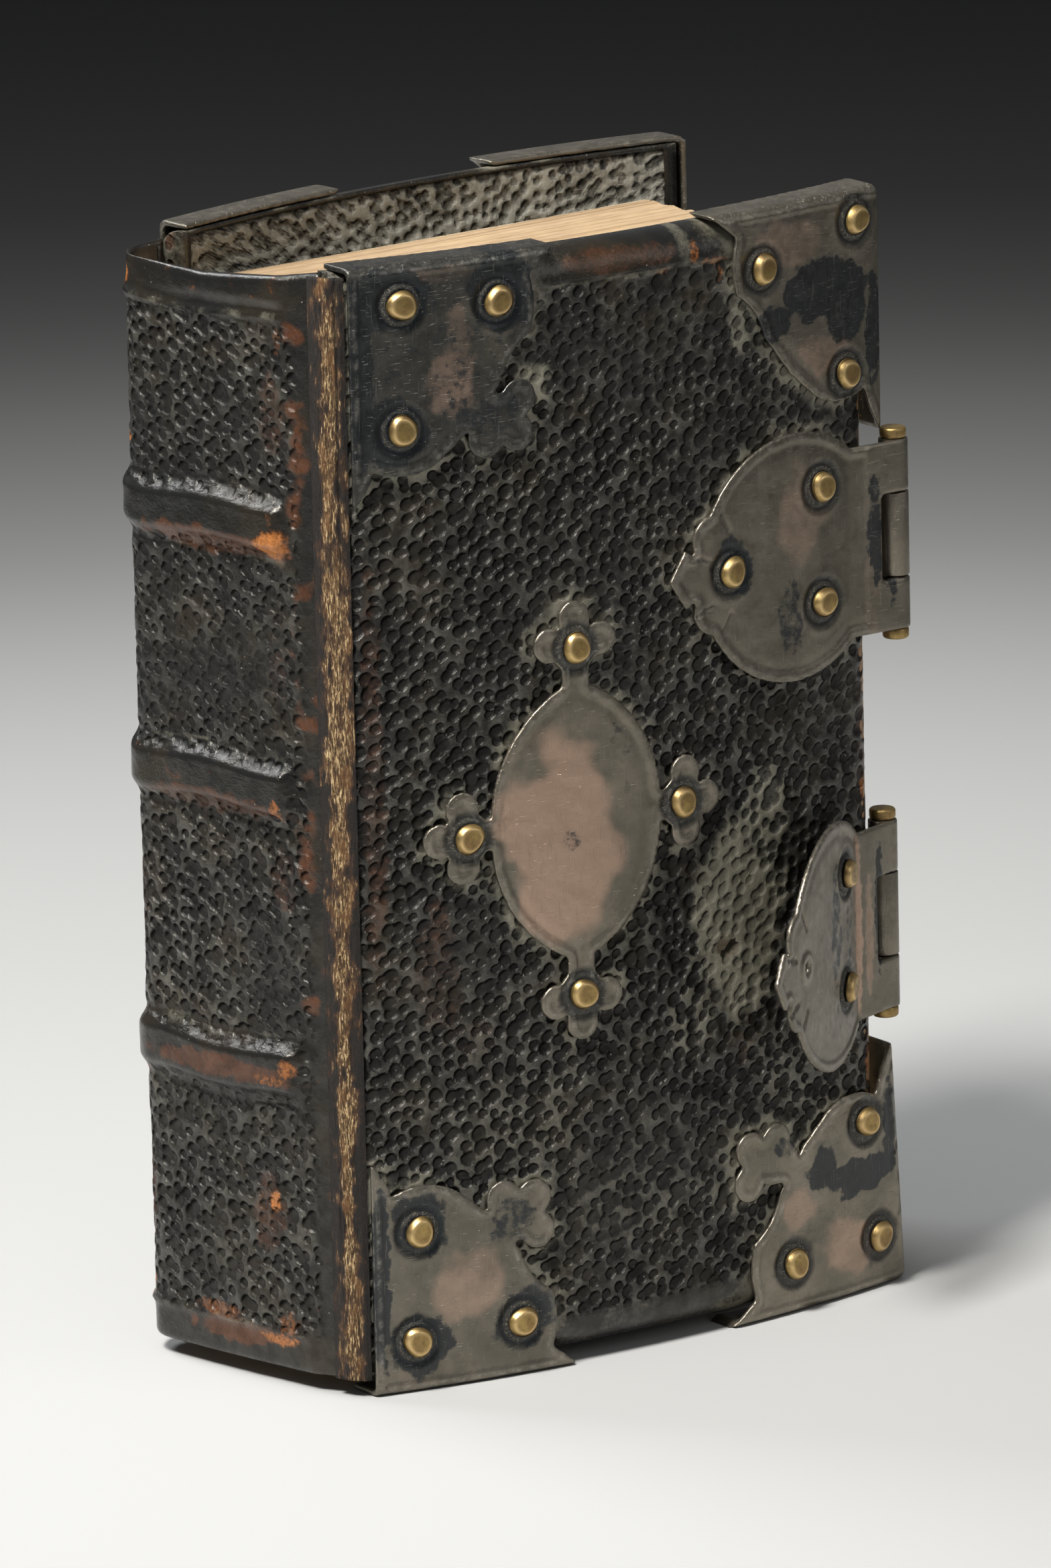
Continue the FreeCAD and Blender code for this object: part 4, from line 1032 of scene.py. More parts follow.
def cover_leather(side):
    """Grained leather over one cover: outer face, rounded edges and sides, closed by a plain back."""
    step = mm("leather_step") if side == FRONT else mm("rear_step")
    round_edge = 3.0
    round_spine = 0.9
    thick = mm("cover")
    metal = mm("metal")
    edge_run = math.pi * round_edge / 2 + thick - round_edge - round_edge
    spine_run = math.pi * round_spine / 2 + thick - round_spine - round_spine
    seed = 0.0 if side == FRONT else 40.0
    pattern = {}

    def surface(u, v, inset=0.0):
        across = -spine_run + inset + u * (BOARD_WIDTH + spine_run + edge_run - 2 * inset)
        upward = BOARD_LIFT - edge_run + inset + v * (BOARD_LENGTH + 2 * edge_run - 2 * inset)
        x, deep_x = folded(across, 0.0, BOARD_WIDTH, round_spine, round_edge)
        z, deep_z = folded(upward, BOARD_LIFT, BOARD_TOP, round_edge, round_edge)
        x = plumb(x, deep_x) + 0.05 * smooth(0.5, 1.0, deep_x) * np.sign(x - MIDDLE_X)
        z = z + 0.05 * smooth(0.5, 1.0, deep_z) * np.sign(z - MIDDLE_Z)
        return x, z, np.maximum(deep_x, deep_z), across, upward

    def outer(u, v):
        x, z, deep, across, upward = surface(u, v)
        hollow, near, toward = pits(across, upward, mm("grain_pitch"), seed)
        plain = smooth(105.2, 106.2, z) * smooth(15, 19, x) + (1 - smooth(4.6, 5.3, z)) * smooth(15, 19, x)
        plain = np.clip(plain, 0, 1)
        worn = 0.45 * smooth(0.45, 0.8, clouds(x, z, 14.0, seed + 1) * 0.5 + 0.5)
        side_wall = smooth(1.0, 2.6, deep)
        rubbed = blob(x, z, RUBBED_PLACE, RUBBED_SIZE, seed=8.0) if side == FRONT else 0.0
        keep = (1 - plain) * (1 - 0.75 * side_wall) * (1 - worn) * (1 - 0.45 * rubbed)
        line = bell(z, BORDER_HEAD, BORDER_WIDE) + bell(z, BORDER_TAIL, BORDER_WIDE)
        line = line * smooth(12, 18, x) * (1 - smooth(46, 50, x)) + 0.35 * bell(x, BORDER_FORE, 0.3)
        uneven = clouds(x, z, 11.0, seed + 4)
        tear = blob(x, z, TEAR_PLACE, TEAR_SIZE, seed=3.0) if side == FRONT else 0.0
        sink = mm("grain_depth") * hollow * keep + 0.14 * line + 0.04 + 0.04 * uneven + 0.3 * tear
        near = near * (1 - tear)
        pattern.update(x=x, z=z, deep=deep, near=near, toward=toward, keep=keep, plain=plain, line=line)
        book = on_cover(x, z, -metal - deep - np.clip(sink, 0, DEEPEST_PIT) * (1 - 0.6 * side_wall))
        return to_frame(to_side(book, side))

    def back(u, v):
        x, z, deep, _, _ = surface(u, v)
        x = np.clip(x, BACK_INSET, BOARD_WIDTH - BACK_INSET)
        z = np.clip(z, BOARD_LIFT + BACK_INSET, BOARD_TOP - BACK_INSET)
        book = on_cover(x, z, -metal - np.clip(deep + LINING_DEPTH, LINING_DEPTH, thick))
        return to_frame(to_side(book, side))

    columns = int((BOARD_WIDTH + spine_run + edge_run) / step)
    rows = int((BOARD_LENGTH + 2 * edge_run) / step)
    face = grid(f"{side}_cover_leather", columns, rows, outer)
    x, z, deep = pattern["x"], pattern["z"], pattern["deep"]
    dust = np.zeros(len(x))
    if DUST_LINES[side]:
        near = nearest(x, z, DUST_LINES[side])
        patchy = 0.62 + 0.55 * clouds(x, z, 5.0, 12.0 + seed)
        dust = (0.95 * np.exp(-(near / 0.9) ** 1.5) + 0.50 * np.exp(-(near / 4.2) ** 1.5)) * patchy
    if side == FRONT:
        dust = np.maximum(dust, spots(x, z, DUST_SPOTS, 20.0))
        brown = spots(x, z, BROWN_SPOTS, 30.0)
        tan = spots(x, z, TAN_SPOTS, 50.0)
    else:
        brown = 0.4 * smooth(0.2, 0.8, clouds(x, z, 16.0, 33.0))
        tan = np.zeros(len(x))
    dust = np.maximum(dust, 0.75 * pattern["line"] * smooth(-0.7, 0.3, clouds(x, z, 3.0, 18.0)) * (z > 100))
    dust = np.maximum(dust, 0.30 * pattern["line"])
    low = 1 - smooth(20.0, 60.0, z)
    dust = np.maximum(dust, 0.42 * low * smooth(-0.6, 0.5, clouds(x, z, 9.0, 19.0)) * (deep < 0.5))
    rub = smooth(0.3, 1.2, deep) * (1 - smooth(2.2, 3.2, deep))
    rub = rub * smooth(0.0, 0.7, clouds(x, z, 6.0, 61.0 + seed))
    brown = np.clip(np.maximum(brown, 0.7 * rub) + 0.15 * clouds(x, z, 9.0, 71.0), 0, 1)
    tan = np.maximum(tan, 0.75 * rub * smooth(0.2, 0.7, clouds(x, z, 2.5, 81.0)))
    write_layer(face, "wear", brown, tan, dust)
    write_grain(face, pattern["near"], pattern["toward"], pattern["keep"], pattern["plain"])
    shade(face)
    lining = grid(f"{side}_lining", 24, 40, back)
    return lined(face, lining, 0.0, f"{side}_cover_leather", f"{side}_cover", f"{side}_leather")


def turn_in(side):
    """Leather folded over onto the inner face of a cover: four mitred strips."""
    wide = 9.0
    step = 0.42
    metal = mm("metal")
    thick = mm("cover")
    inset = BACK_INSET
    pitch = mm("grain_pitch") * 0.95
    pattern_seed = 90.0
    strips = []
    for number in range(4):
        upright = number % 2
        run = (BOARD_LENGTH if upright else BOARD_WIDTH) - 2 * inset

        def shape(u, v, number=number, upright=upright, run=run):
            inner = v * wide
            along = inner + u * (run - 2 * inner)
            if upright:
                x = inset + inner if number == 1 else BOARD_WIDTH - inset - inner
                z = BOARD_LIFT + inset + along
            else:
                z = BOARD_LIFT + inset + inner if number == 0 else BOARD_TOP - inset - inner
                x = inset + along
            hollow = pits(x, z, pitch, pattern_seed)[0]
            x = plumb(x, metal + thick)
            edge = 1 - smooth(0.0, 0.6, inner)
            sink = 0.22 * hollow + 0.05 + 0.05 * clouds(x, z, 6.0, 91.0) + 0.25 * edge
            return to_frame(to_side(on_cover(x, z, -metal - thick + np.clip(sink, 0, 0.4)), side))

        strips.append(grid("strip", int(run / step), int(wide / step), shape))
    piece = join(strips, f"{side}_turn_in", merge=1e-6)
    outward = -cover_direction(np.array([MIDDLE_X]), side)[0]
    middle = piece.data.polygons[len(piece.data.polygons) // 2]
    if Vector(outward).dot(middle.normal) < 0:
        edit_all(piece, bpy.ops.mesh.flip_normals)
    x, z, _ = cover_place(to_book(vertices(piece)), side)
    _, near, toward = pits(x, z, pitch, pattern_seed)
    low = 1 - smooth(101.0, 108.5, z)
    dust = np.clip(0.70 + 0.40 * low * (z > 95) + 0.2 * clouds(x, z, 7.0, 95.0), 0, 1)
    fleck = smooth(0.45, 0.75, clouds(x, z, 1.8, 97.0)) * smooth(103.0, 107.0, z)
    write_layer(piece, "wear", 0.4 * smooth(0.0, 0.7, clouds(x, z, 5.0, 96.0)), 0.5 * fleck, dust, dust * 0)
    write_grain(piece, 0.35 + 0.65 * near, toward, near * 0 + 0.7, near * 0)
    apply_modifier(piece, "SOLIDIFY", thickness=0.08 * MM, offset=-1.0)
    shade(piece)
    return finish(piece, material("dusty leather"), f"{side}_cover", "black_leather", [f"{side}_leather"])


# Spine

JOINT_DEPTH = 1.0
JOINT_INSET = 2.4
SHOULDER_DEPTH = 3.1
SHOULDER_INSET = 5.8
BAND_LEVELS = (31.3, 59.1, MOUNT_HEIGHT - 25.2)
SKIN_MARGIN = 0.15
HEAD_GROWS_FROM = 98.0
STRIP_THICKNESS = 0.22


def arc(start, through, end, count):
    """Points of the circle through three points."""
    (ax, ay), (bx, by), (cx, cy) = start, through, end
    d = 2 * (ax * (by - cy) + bx * (cy - ay) + cx * (ay - by))
    ux = ((ax**2 + ay**2) * (by - cy) + (bx**2 + by**2) * (cy - ay) + (cx**2 + cy**2) * (ay - by)) / d
    uy = ((ax**2 + ay**2) * (cx - bx) + (bx**2 + by**2) * (ax - cx) + (cx**2 + cy**2) * (bx - ax)) / d
    radius = math.hypot(ax - ux, ay - uy)
    first = math.atan2(ay - uy, ax - ux)
    last = math.atan2(cy - uy, cx - ux)
    turn = (last - first + math.pi) % (2 * math.pi) - math.pi
    angles = first + turn * np.linspace(0, 1, count)
    return np.stack([ux + radius * np.cos(angles), uy + radius * np.sin(angles)], 1)


def spine_curve():
    """The outer back of the spine from above, from the front joint to the rear one, in even steps."""
    thick = mm("thickness")
    front_end = (-JOINT_DEPTH, JOINT_INSET)
    shoulder = (-SHOULDER_DEPTH, SHOULDER_INSET)
    middle = (-5.3, thick * 0.49)
    high = (-7.0, thick * 0.79)
    rear_shoulder = (-6.3, thick * 0.875)
    corner = (-SHOULDER_DEPTH - 1.0, thick - 2.6)
    rear_end = (-JOINT_DEPTH, thick - JOINT_INSET)
    line = np.concatenate([
        np.linspace(front_end, shoulder, 12)[:-1],
        arc(shoulder, middle, high, 60)[:-1],
        arc(high, rear_shoulder, corner, 24)[:-1],
        np.linspace(corner, rear_end, 10),
    ])
    run = np.concatenate([[0], np.cumsum(np.hypot(*np.diff(line, axis=0).T))])
    even = np.linspace(0, run[-1], 240)
    smooth_line = np.stack([np.interp(even, run, line[:, k]) for k in (0, 1)], 1)
    for _ in range(10):
        smooth_line[1:-1] = (smooth_line[:-2] + 2 * smooth_line[1:-1] + smooth_line[2:]) / 4
    return smooth_line, even


def spine_point(along, inset):
    """Points at a run along the spine's back, an inset below its face."""
    line, run = spine_curve()
    x = np.interp(along, run, line[:, 0])
    y = np.interp(along, run, line[:, 1])
    tangent = np.gradient(line, run, axis=0)
    tx = np.interp(along, run, tangent[:, 0])
    ty = np.interp(along, run, tangent[:, 1])
    size = np.hypot(tx, ty)
    return x + ty / size * inset, y - tx / size * inset


SPINE_TAN = [(5.5, 82.8, 2.1, 2.3, 1.0), (5.6, 57.3, 0.8, 1.2, 0.7), (5.2, 32.0, 1.2, 1.0, 0.7),
             (7.0, 30.6, 2.4, 0.7, 0.55), (26.2, 106.6, 1.5, 1.2, 1.0), (26.4, 90.5, 0.7, 0.8, 0.8),
             (8.2, 18.2, 0.9, 1.3, 1.0), (26.0, 82.5, 1.0, 1.0, 0.7), (25.8, 29.0, 0.9, 1.4, 0.7),
             (8.0, 4.5, 3.4, 0.8, 0.8), (6.6, 6.0, 1.6, 1.6, 0.5), (26.5, 58.0, 1.2, 1.5, 0.5),
             (26.6, 6.5, 0.8, 3.0, 0.65), (5.0, 102.5, 0.7, 2.0, 0.35)]
SPINE_BROWN = [(14.0, 82.5, 12.0, 1.8, 0.8), (14.0, 57.0, 12.0, 1.6, 0.7), (14.0, 31.0, 12.0, 1.6, 0.75),
               (14.0, 4.5, 7.0, 1.6, 0.9), (29.0, 104.0, 2.0, 3.0, 0.9), (9.0, 17.0, 3.0, 5.0, 0.55),
               (27.0, 45.0, 3.0, 6.0, 0.45), (6.0, 50.0, 2.5, 5.0, 0.45), (6.0, 70.0, 2.0, 9.0, 0.35),
               (6.0, 96.0, 2.0, 6.0, 0.45), (27.0, 15.0, 3.0, 7.0, 0.5)]
SPINE_RED = [(16.0, 6.2, 4.0, 0.9, 0.8)]


def head_growth(along):
    """How much higher than the plain edge the leather stands at the head, at each run along the spine."""
    total = spine_curve()[1][-1]
    return np.interp(along / total, (0.0, 0.12, 0.45, 0.8, 1.0), (1.5, 1.0, 0.15, 0.5, 0.8))


def spine_skin():
    """Grained leather over the spine with raised bands, tooled lines and a cap at each end."""
    step = mm("leather_step")
    _, run = spine_curve()
    total = run[-1]
    rim = 0.7
    rim_run = math.pi * rim / 2
    tall = SPINE_HIGH - SPINE_LOW
    pattern = {}

    def outer(u, v):
        along = SKIN_MARGIN + u * (total - 2 * SKIN_MARGIN)
        upward = SPINE_LOW - rim_run + rim + v * (tall + 2 * rim_run - 2 * rim)
        z, deep = folded(upward, SPINE_LOW, SPINE_HIGH, rim, rim)
        z = z + head_growth(along) * smooth(HEAD_GROWS_FROM, SPINE_HIGH, z)
        band = np.zeros_like(along)
        crease = np.zeros_like(along)
        for level in BAND_LEVELS:
            wave = 0.25 * np.sin(along * 0.35 + level)
            d = np.abs(z - level - wave)
            band = np.maximum(band, 1 - smooth(1.4, 3.1, d))
            crease = np.maximum(crease, bell(d, 3.35, 0.35))
        ends = smooth(3.6, 5.2, along) * (1 - smooth(total - 5.0, total - 3.6, along))
        band = band * ends
        ridges = np.exp(-((z - 104.6 - 0.3 * np.sin(along * 0.3)) / 0.45) ** 2)
        ridges = np.maximum(ridges, bell(z, 5.4, 0.4)) * ends
        plain = np.clip(band * 1.3 + smooth(103.6, 104.6, z) + (1 - smooth(5.0, 6.2, z)), 0, 1)
        plain = np.maximum(plain, 1 - smooth(2.2, 3.4, along))
        cap = smooth(105.4, 106.6, z) * ends
        hollow, near, toward = pits(along, z, mm("grain_pitch") * 0.98, 21.0, lean=(0.55, 0.7))
        keep = (1 - plain) * (0.72 + 0.5 * clouds(along, z, 12.0, 22.0))
        keep = keep * (1 - 0.6 * crease)
        sag = 0.10 * smooth(3.0, 9.0, np.min([np.abs(z - level) for level in BAND_LEVELS], axis=0))
        rise = mm("band_rise") * band + 0.30 * ridges - sag * ends - 0.10 * crease * ends
        rise = rise - mm("band_rise") * band * np.interp(along / total, (0.25, 0.6, 1.0), (0.0, 0.25, 0.75))
        rise = rise + cap * np.interp(along / total, (0.3, 0.6, 1.0), (0.42, 0.1, -0.35))
        rise = rise + 0.09 * clouds(along, z, 8.0, 23.0) * (1 - 0.5 * band)
        rise = rise + 0.05 * clouds(along, z, 1.6, 24.0)
        rise = rise - mm("grain_depth") * 1.05 * hollow * np.clip(keep, 0, 1)
        rise = rise * (1 - smooth(0.0, rim, deep)) + 0.3 * cap * smooth(0.0, rim, deep)
        x, y = spine_point(along, deep - np.clip(rise - 0.10 * (1 - band), -0.5, mm("band_rise")))
        pattern.update(along=along, z=z, near=near, toward=toward, keep=np.clip(keep, 0, 1), band=band,
                       plain=plain, crease=crease * ends, ridges=ridges, cap=cap)
        return to_frame(np.stack([x, y, z], 1))

    def back(u, v):
        along = SKIN_MARGIN + u * (total - 2 * SKIN_MARGIN)
        z = SPINE_LOW + 0.4 + v * (tall - 0.8)
        under = np.min([np.abs(z - level) for level in BAND_LEVELS], axis=0)
        z = z + head_growth(along) * smooth(HEAD_GROWS_FROM, SPINE_HIGH, z)
        between = smooth(4.4, 5.4, along) * (1 - smooth(total - 5.4, total - 4.4, along))
        over_cord = (1 - smooth(1.9, 2.6, under)) * between
        x, y = spine_point(along, 0.88 - 1.15 * over_cord)
        return to_frame(np.stack([x, y, z], 1))

    face = grid("spine_skin", int(total / step), int(tall / step), outer)
    along, z = pattern["along"], pattern["z"]
    tan = spots(along, z, SPINE_TAN, 110.0)
    brown = spots(along, z, SPINE_BROWN, 130.0)
    red = spots(along, z, SPINE_RED, 150.0)
    dust = 0.42 * smooth(0.0, 0.6, clouds(along, z, 9.0, 25.0)) * (1 - pattern["plain"])
    dust = np.maximum(dust, 0.70 * pattern["crease"] * smooth(-0.3, 0.5, clouds(along, z, 2.5, 26.0)))
    dust = np.maximum(dust, 0.70 * pattern["ridges"] * smooth(-0.4, 0.6, clouds(along, z, 1.6, 20.0)))
    tan = np.maximum(tan, 0.50 * pattern["band"] * smooth(0.30, 0.9, clouds(along, z, 2.2, 27.0)))
    rub = (1 - smooth(3.4, 5.0, along)) * smooth(0.0, 0.6, clouds(along, z, 2.5, 28.0))
    tan = np.maximum(tan, 0.12 * rub)
    tan = np.maximum(tan, 0.35 * pattern["cap"] * smooth(0.1, 0.8, clouds(along, z, 2.6, 29.0)))
    brown = np.maximum(brown, np.maximum(red, 0.9 * rub))
    gloss = np.maximum(pattern["band"], pattern["cap"])
    write_layer(face, "wear", brown, np.maximum(tan, red * 0.5), dust, gloss)
    write_grain(face, pattern["near"], pattern["toward"], pattern["keep"], pattern["plain"])
    shade(face)
    lining = grid("spine_lining", 60, 150, back)
    return lined(face, lining, 0.3, "spine_skin", "block", "spine_leather")


def joint_strip(side):
    """Frayed strip of leather over a joint."""
    thick = mm("thickness")
    low = SPINE_LOW + 0.1
    high = SPINE_HIGH + (1.2 if side == FRONT else 0.2)
    pattern = {}
    start = np.array([-1.80, 3.45])
    end = np.array([0.35, 0.45])
    knee = np.array([-1.20, 2.1])
    out = np.array([-0.82, -0.57])

    def shape(u, v):
        z = low + v * (high - low)
        t = u[:, None]
        line = (1 - t) ** 2 * start + 2 * t * (1 - t) * knee + t ** 2 * end
        frayed = 1.0 if side == FRONT else 0.3
        strand = clouds(u * 14 + 0.8 * clouds(u * 3, z, 5.0, 31.0), z / 2.6, 1.0, 32.0) * 0.5 + 0.5
        tuft = clouds(u * 26, z / 1.1, 1.0, 33.0) * 0.5 + 0.5
        sway = 0.60 + 0.08 * clouds(u * 0, z, 14.0, 36.0)
        middle = bell(u, sway, 0.32)
        rise = 0.12 + middle * (0.34 * strand + 0.26 * tuft) * frayed
        rise = rise * smooth(0.0, 0.15, u) * (1 - smooth(0.9, 1.0, u))
        split = np.exp(-((u - sway - 0.16 - 0.05 * clouds(u * 0, z, 3.0, 34.0)) / 0.035) ** 2)
        split = split * smooth(-0.3, 0.2, clouds(u * 0, z, 9.0, 37.0))
        rise = rise - 0.30 * split * frayed
        wide = 0.17 + 0.12 * bell(z, 76, 26) + 0.13 * clouds(u * 0, z, 4.0, 35.0)
        wide = np.clip(wide + 0.10 * clouds(u * 0, z, 1.1, 38.0), 0.05, 0.6)
        tan = 1.05 * (1 - smooth(wide * 0.30, wide * 1.9, np.abs(u - sway)))
        tan = tan * (0.72 + 0.55 * clouds(u * 9, z, 2.2, 39.0))
        crumbs = 0.42 * smooth(0.0, 0.7, clouds(u * 10, z / 1.3, 1.0, 41.0)) * (1 - smooth(0.55, 0.8, u))
        tan = np.maximum(tan, crumbs) * frayed
        if side == REAR:
            tan = tan * (1 - smooth(96.0, 102.0, z))
        pattern.update(tan=tan, split=split * frayed)
        place = line + out * np.clip(rise, -0.1, 0.75)[:, None]
        y = place[:, 1] if side == FRONT else thick - place[:, 1]
        return to_frame(np.stack([place[:, 0], y, z], 1))

    face = grid(f"{side}_joint", 44, int((high - low) / 0.36), shape)
    write_layer(face, "wear", pattern["split"], pattern["tan"])
    if side == REAR:
        edit_all(face, bpy.ops.mesh.flip_normals)
    apply_modifier(face, "SOLIDIFY", thickness=STRIP_THICKNESS * MM, offset=-1.0)
    shade(face)
    face.data.materials.clear()
    face.data.materials.append(material("fibre"))
    edge_y = (lambda y: y) if side == FRONT else (lambda y: thick - y)
    begin = to_frame([start[0], edge_y(start[1]), MIDDLE_Z])
    finish_at = to_frame([end[0] - 0.3, edge_y(end[1] + 0.4), MIDDLE_Z])
    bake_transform(face)
    return face


# Thread and cord

def wound_roll(name, inset, x_shift, middle, half_wide, half_tall, pitch, plies, low_y, high_y, finish_name,
               slot, node):
    """A roll of twisted strands along the spine, drawn together at both ends."""
    line, run = spine_curve()
    start = np.interp(low_y, line[:, 1], run)
    end = np.interp(high_y, line[:, 1], run)

    def shape(u, v):
        along = start + (end - start) * v
        turn = u * 2 * math.pi
        x, y = spine_point(along, inset)
        x_out, y_out = spine_point(along, inset - 1.0)
        strands = 0.93 + 0.07 * np.cos(plies * turn - 2 * math.pi * along / pitch)
        taper = np.sqrt(np.clip(1 - np.abs(2 * v - 1) ** 24, 0, 1)) * strands
        across = half_wide * taper * np.cos(turn)
        place = np.stack([x + x_shift + (x_out - x) * across, y + (y_out - y) * across,
                          middle + half_tall * taper * np.sin(turn)], 1)
        return to_frame(place)

    piece = join([grid(name, 28, 190, shape)], name, merge=1e-6)
    shade(piece)
    return finish(piece, material(finish_name), "block", slot, [node])


# Pages

LEAVES = 150
SECTIONS = 16
LEAF_GAP = 0.06
FORE_HOLLOW = 0.7

def page_block():
    """The text block: leaves show as fine lines on its head, tail and fore-edge."""
    thick = mm("thickness")
    inner_x, inner_y = spine_point(spine_curve()[1], 0.93)
    order = np.argsort(inner_y)
    inner_x, inner_y = inner_x[order], inner_y[order]
    rear_y = thick - TEXT_FRONT
    parts = []

    def place(a, b, c):
        y = TEXT_FRONT + (rear_y - TEXT_FRONT) * b
        back = np.interp(y, inner_y, inner_x)
        x = back + (TEXT_WIDTH - back) * a
        fore, head, tail = a > 0.999, c > 0.999, c < 0.001
        rear = x * math.tan(SPLAY) * b
        leaf = clouds(b * LEAVES, a * 1.6, 1.0, 41.0, 2)
        section = clouds(b * SECTIONS, a * 1.2, 1.0, 42.0, 1)
        head_dip = np.where(head, 0.20 + 0.11 * leaf + 0.16 * section, 0.0)
        tail_dip = np.where(tail, 0.16 + 0.10 * leaf, 0.0)
        leaf_fore = clouds(b * LEAVES, c * 6.0, 1.0, 43.0, 2)
        fore_dip = np.where(fore, 0.22 + 0.12 * leaf_fore + 0.10 * section, 0.0)
        x = x - fore_dip - np.where(fore, FORE_HOLLOW * (1 - (2 * b - 1) ** 2), 0.0)
        z = TEXT_LOW + (TEXT_HIGH - TEXT_LOW) * c - head_dip + tail_dip
        y = y + rear + LEAF_GAP * (0.5 - b) * 2
        line_mask = smooth(0.15, 0.7, -np.where(fore, leaf_fore, leaf)) * (fore | head | tail)
        near_spine = (1 - smooth(0.0, 0.07, a)) * head
        edge = np.minimum(b, 1 - b)
        grime = np.clip(near_spine * 0.6 + (1 - smooth(0.0, 0.05, edge)) * 0.5, 0, 1)
        leaf_face = (b < 0.001) | (b > 0.999)
        return np.stack([x, y, z], 1), line_mask, grime, leaf_face

    sides = {
        "head": (90, 130, lambda u, v: (v, u, u * 0 + 1)), "tail": (90, 60, lambda u, v: (v, u, u * 0)),
        "fore": (90, 90, lambda u, v: (u * 0 + 1, u, v)), "back": (90, 90, lambda u, v: (u * 0, u, v)),
        "first": (60, 90, lambda u, v: (u, u * 0, v)), "last": (60, 90, lambda u, v: (u, u * 0 + 1, v)),
    }
    for name, (columns, rows, spread) in sides.items():
        found = {}

        def shape(u, v, spread=spread, found=found):
            points, found["line"], found["grime"], found["leaf"] = place(*spread(u, v))
            return to_frame(points)

        part = grid(name, columns, rows, shape)
        write_layer(part, "page", found["line"], found["grime"], found["leaf"].astype(float))
        parts.append(part)
    piece = join(parts, "page_block", merge=2e-6)
    shade(piece, 50)
    return finish(piece, material("pages"), "block", "page_paper", ["text_block"])


# Stage

AZIMUTH = math.radians(-34.99)
ELEVATION = math.radians(14.03)
ROLL = math.radians(-1.33)
DISTANCE = 1246.4
TARGET = (32.118, 18.0, 51.918)
FOCAL_PIXELS = 19164.55
IMAGE_HEIGHT = 2339
SENSOR = 36.0
FLOOR_SIZE = 6.0
FLOOR_GAP = 0.00002
WHITE = (1.0, 1.0, 1.0)
LAMPS = (  # name, azimuth and elevation in degrees, distance, width and height, power, tint
    ("key", -72, 58, 0.80, (0.18, 0.18), 11.0, (1.0, 0.98, 0.95)),
    ("back", -158, 46, 0.90, (0.40, 0.24), 4.5, (0.94, 0.97, 1.0)),
    ("top", -50, 78, 0.85, (0.40, 0.40), 1.2, WHITE),
    ("fill", 30, 28, 1.2, (0.50, 0.50), 1.2, WHITE),
)


def make_camera():
    """The camera that took the photo, as fitted to the covers' edges."""
    back = Vector((math.sin(AZIMUTH) * math.cos(ELEVATION), -math.cos(AZIMUTH) * math.cos(ELEVATION),
                   math.sin(ELEVATION)))
    level = Vector((math.cos(AZIMUTH), math.sin(AZIMUTH), 0.0))
    upright = back.cross(level)
    right = level * math.cos(ROLL) + upright * math.sin(ROLL)
    up = upright * math.cos(ROLL) - level * math.sin(ROLL)
    target = Vector(to_frame(TARGET))
    data = bpy.data.cameras.new("camera")
    data.sensor_width = SENSOR
    data.lens = FOCAL_PIXELS * SENSOR / IMAGE_HEIGHT
    data.clip_start = 0.05
    data.clip_end = 60.0
    camera = bpy.data.objects.new("camera", data)
    camera.matrix_world = Matrix.Translation(target + back * DISTANCE * MM) @ Matrix(
        (right, up, back)).transposed().to_4x4()
    bpy.context.scene.collection.objects.link(camera)
    bpy.context.scene.camera = camera


def lamp(name, azimuth, elevation, distance, size, power, tint):
    """A soft rectangular lamp that looks at the book from a direction in degrees."""
    a, e = math.radians(azimuth), math.radians(elevation)
    back = Vector((math.sin(a) * math.cos(e), -math.cos(a) * math.cos(e), math.sin(e)))
    middle = Vector((0.0, 0.0, MIDDLE_Z * MM))
    data = bpy.data.lights.new(name, "AREA")
    data.shape = "RECTANGLE"
    data.size, data.size_y = size
    data.energy = power
    data.color = tint
    item = bpy.data.objects.new(name, data)
    item.location = middle + back * distance
    item.rotation_euler = back.to_track_quat("Z", "Y").to_euler()
    bpy.context.scene.collection.objects.link(item)


def floor_finish():
    """Pale floor with a painted fall-off of light: as seen by the camera it is painted darker with distance
    from the book; other rays see it pale.
    """
    f = Finish("pale_floor")
    far = f.node("VectorMath", "Value", {0: f.coordinates}, operation="LENGTH")
    ramp = f.nodes.new("ShaderNodeValToRGB")
    f.put(ramp.inputs[0], f.math("DIVIDE", far, 0.8))
    # Painted fall-off of light: the floor's colour for the camera darkens away from the book
    stops = ((0.0, 0.45), (0.07, 0.44), (0.13, 0.42), (0.19, 0.40), (0.26, 0.38), (0.34, 0.31), (0.42, 0.18),
             (0.52, 0.088), (0.60, 0.038), (0.69, 0.018), (0.87, 0.0075))
    elements = ramp.color_ramp.elements
    while len(elements) < len(stops):
        elements.new(0.5)
    for element, (position, value) in zip(elements, stops):
        element.position = position
        element.color = (value, value, value * 0.98, 1.0)
    ramp.color_ramp.interpolation = "B_SPLINE"
    paths = f.nodes.new("ShaderNodeLightPath")
    seen = f.math("MAXIMUM", paths.outputs["Is Camera Ray"], paths.outputs["Is Glossy Ray"])
    seen = f.math("MAXIMUM", seen, paths.outputs["Is Transmission Ray"])
    f.set(Base_Color=f.mix(seen, paint("floor"), ramp.outputs[0]), Roughness=0.9, Specular_IOR_Level=0.1)
    return f.material


# Operators: one for each piece or group of like pieces

class PieceOperator:
    """What the operators share."""
    bl_options = {"REGISTER", "UNDO"}


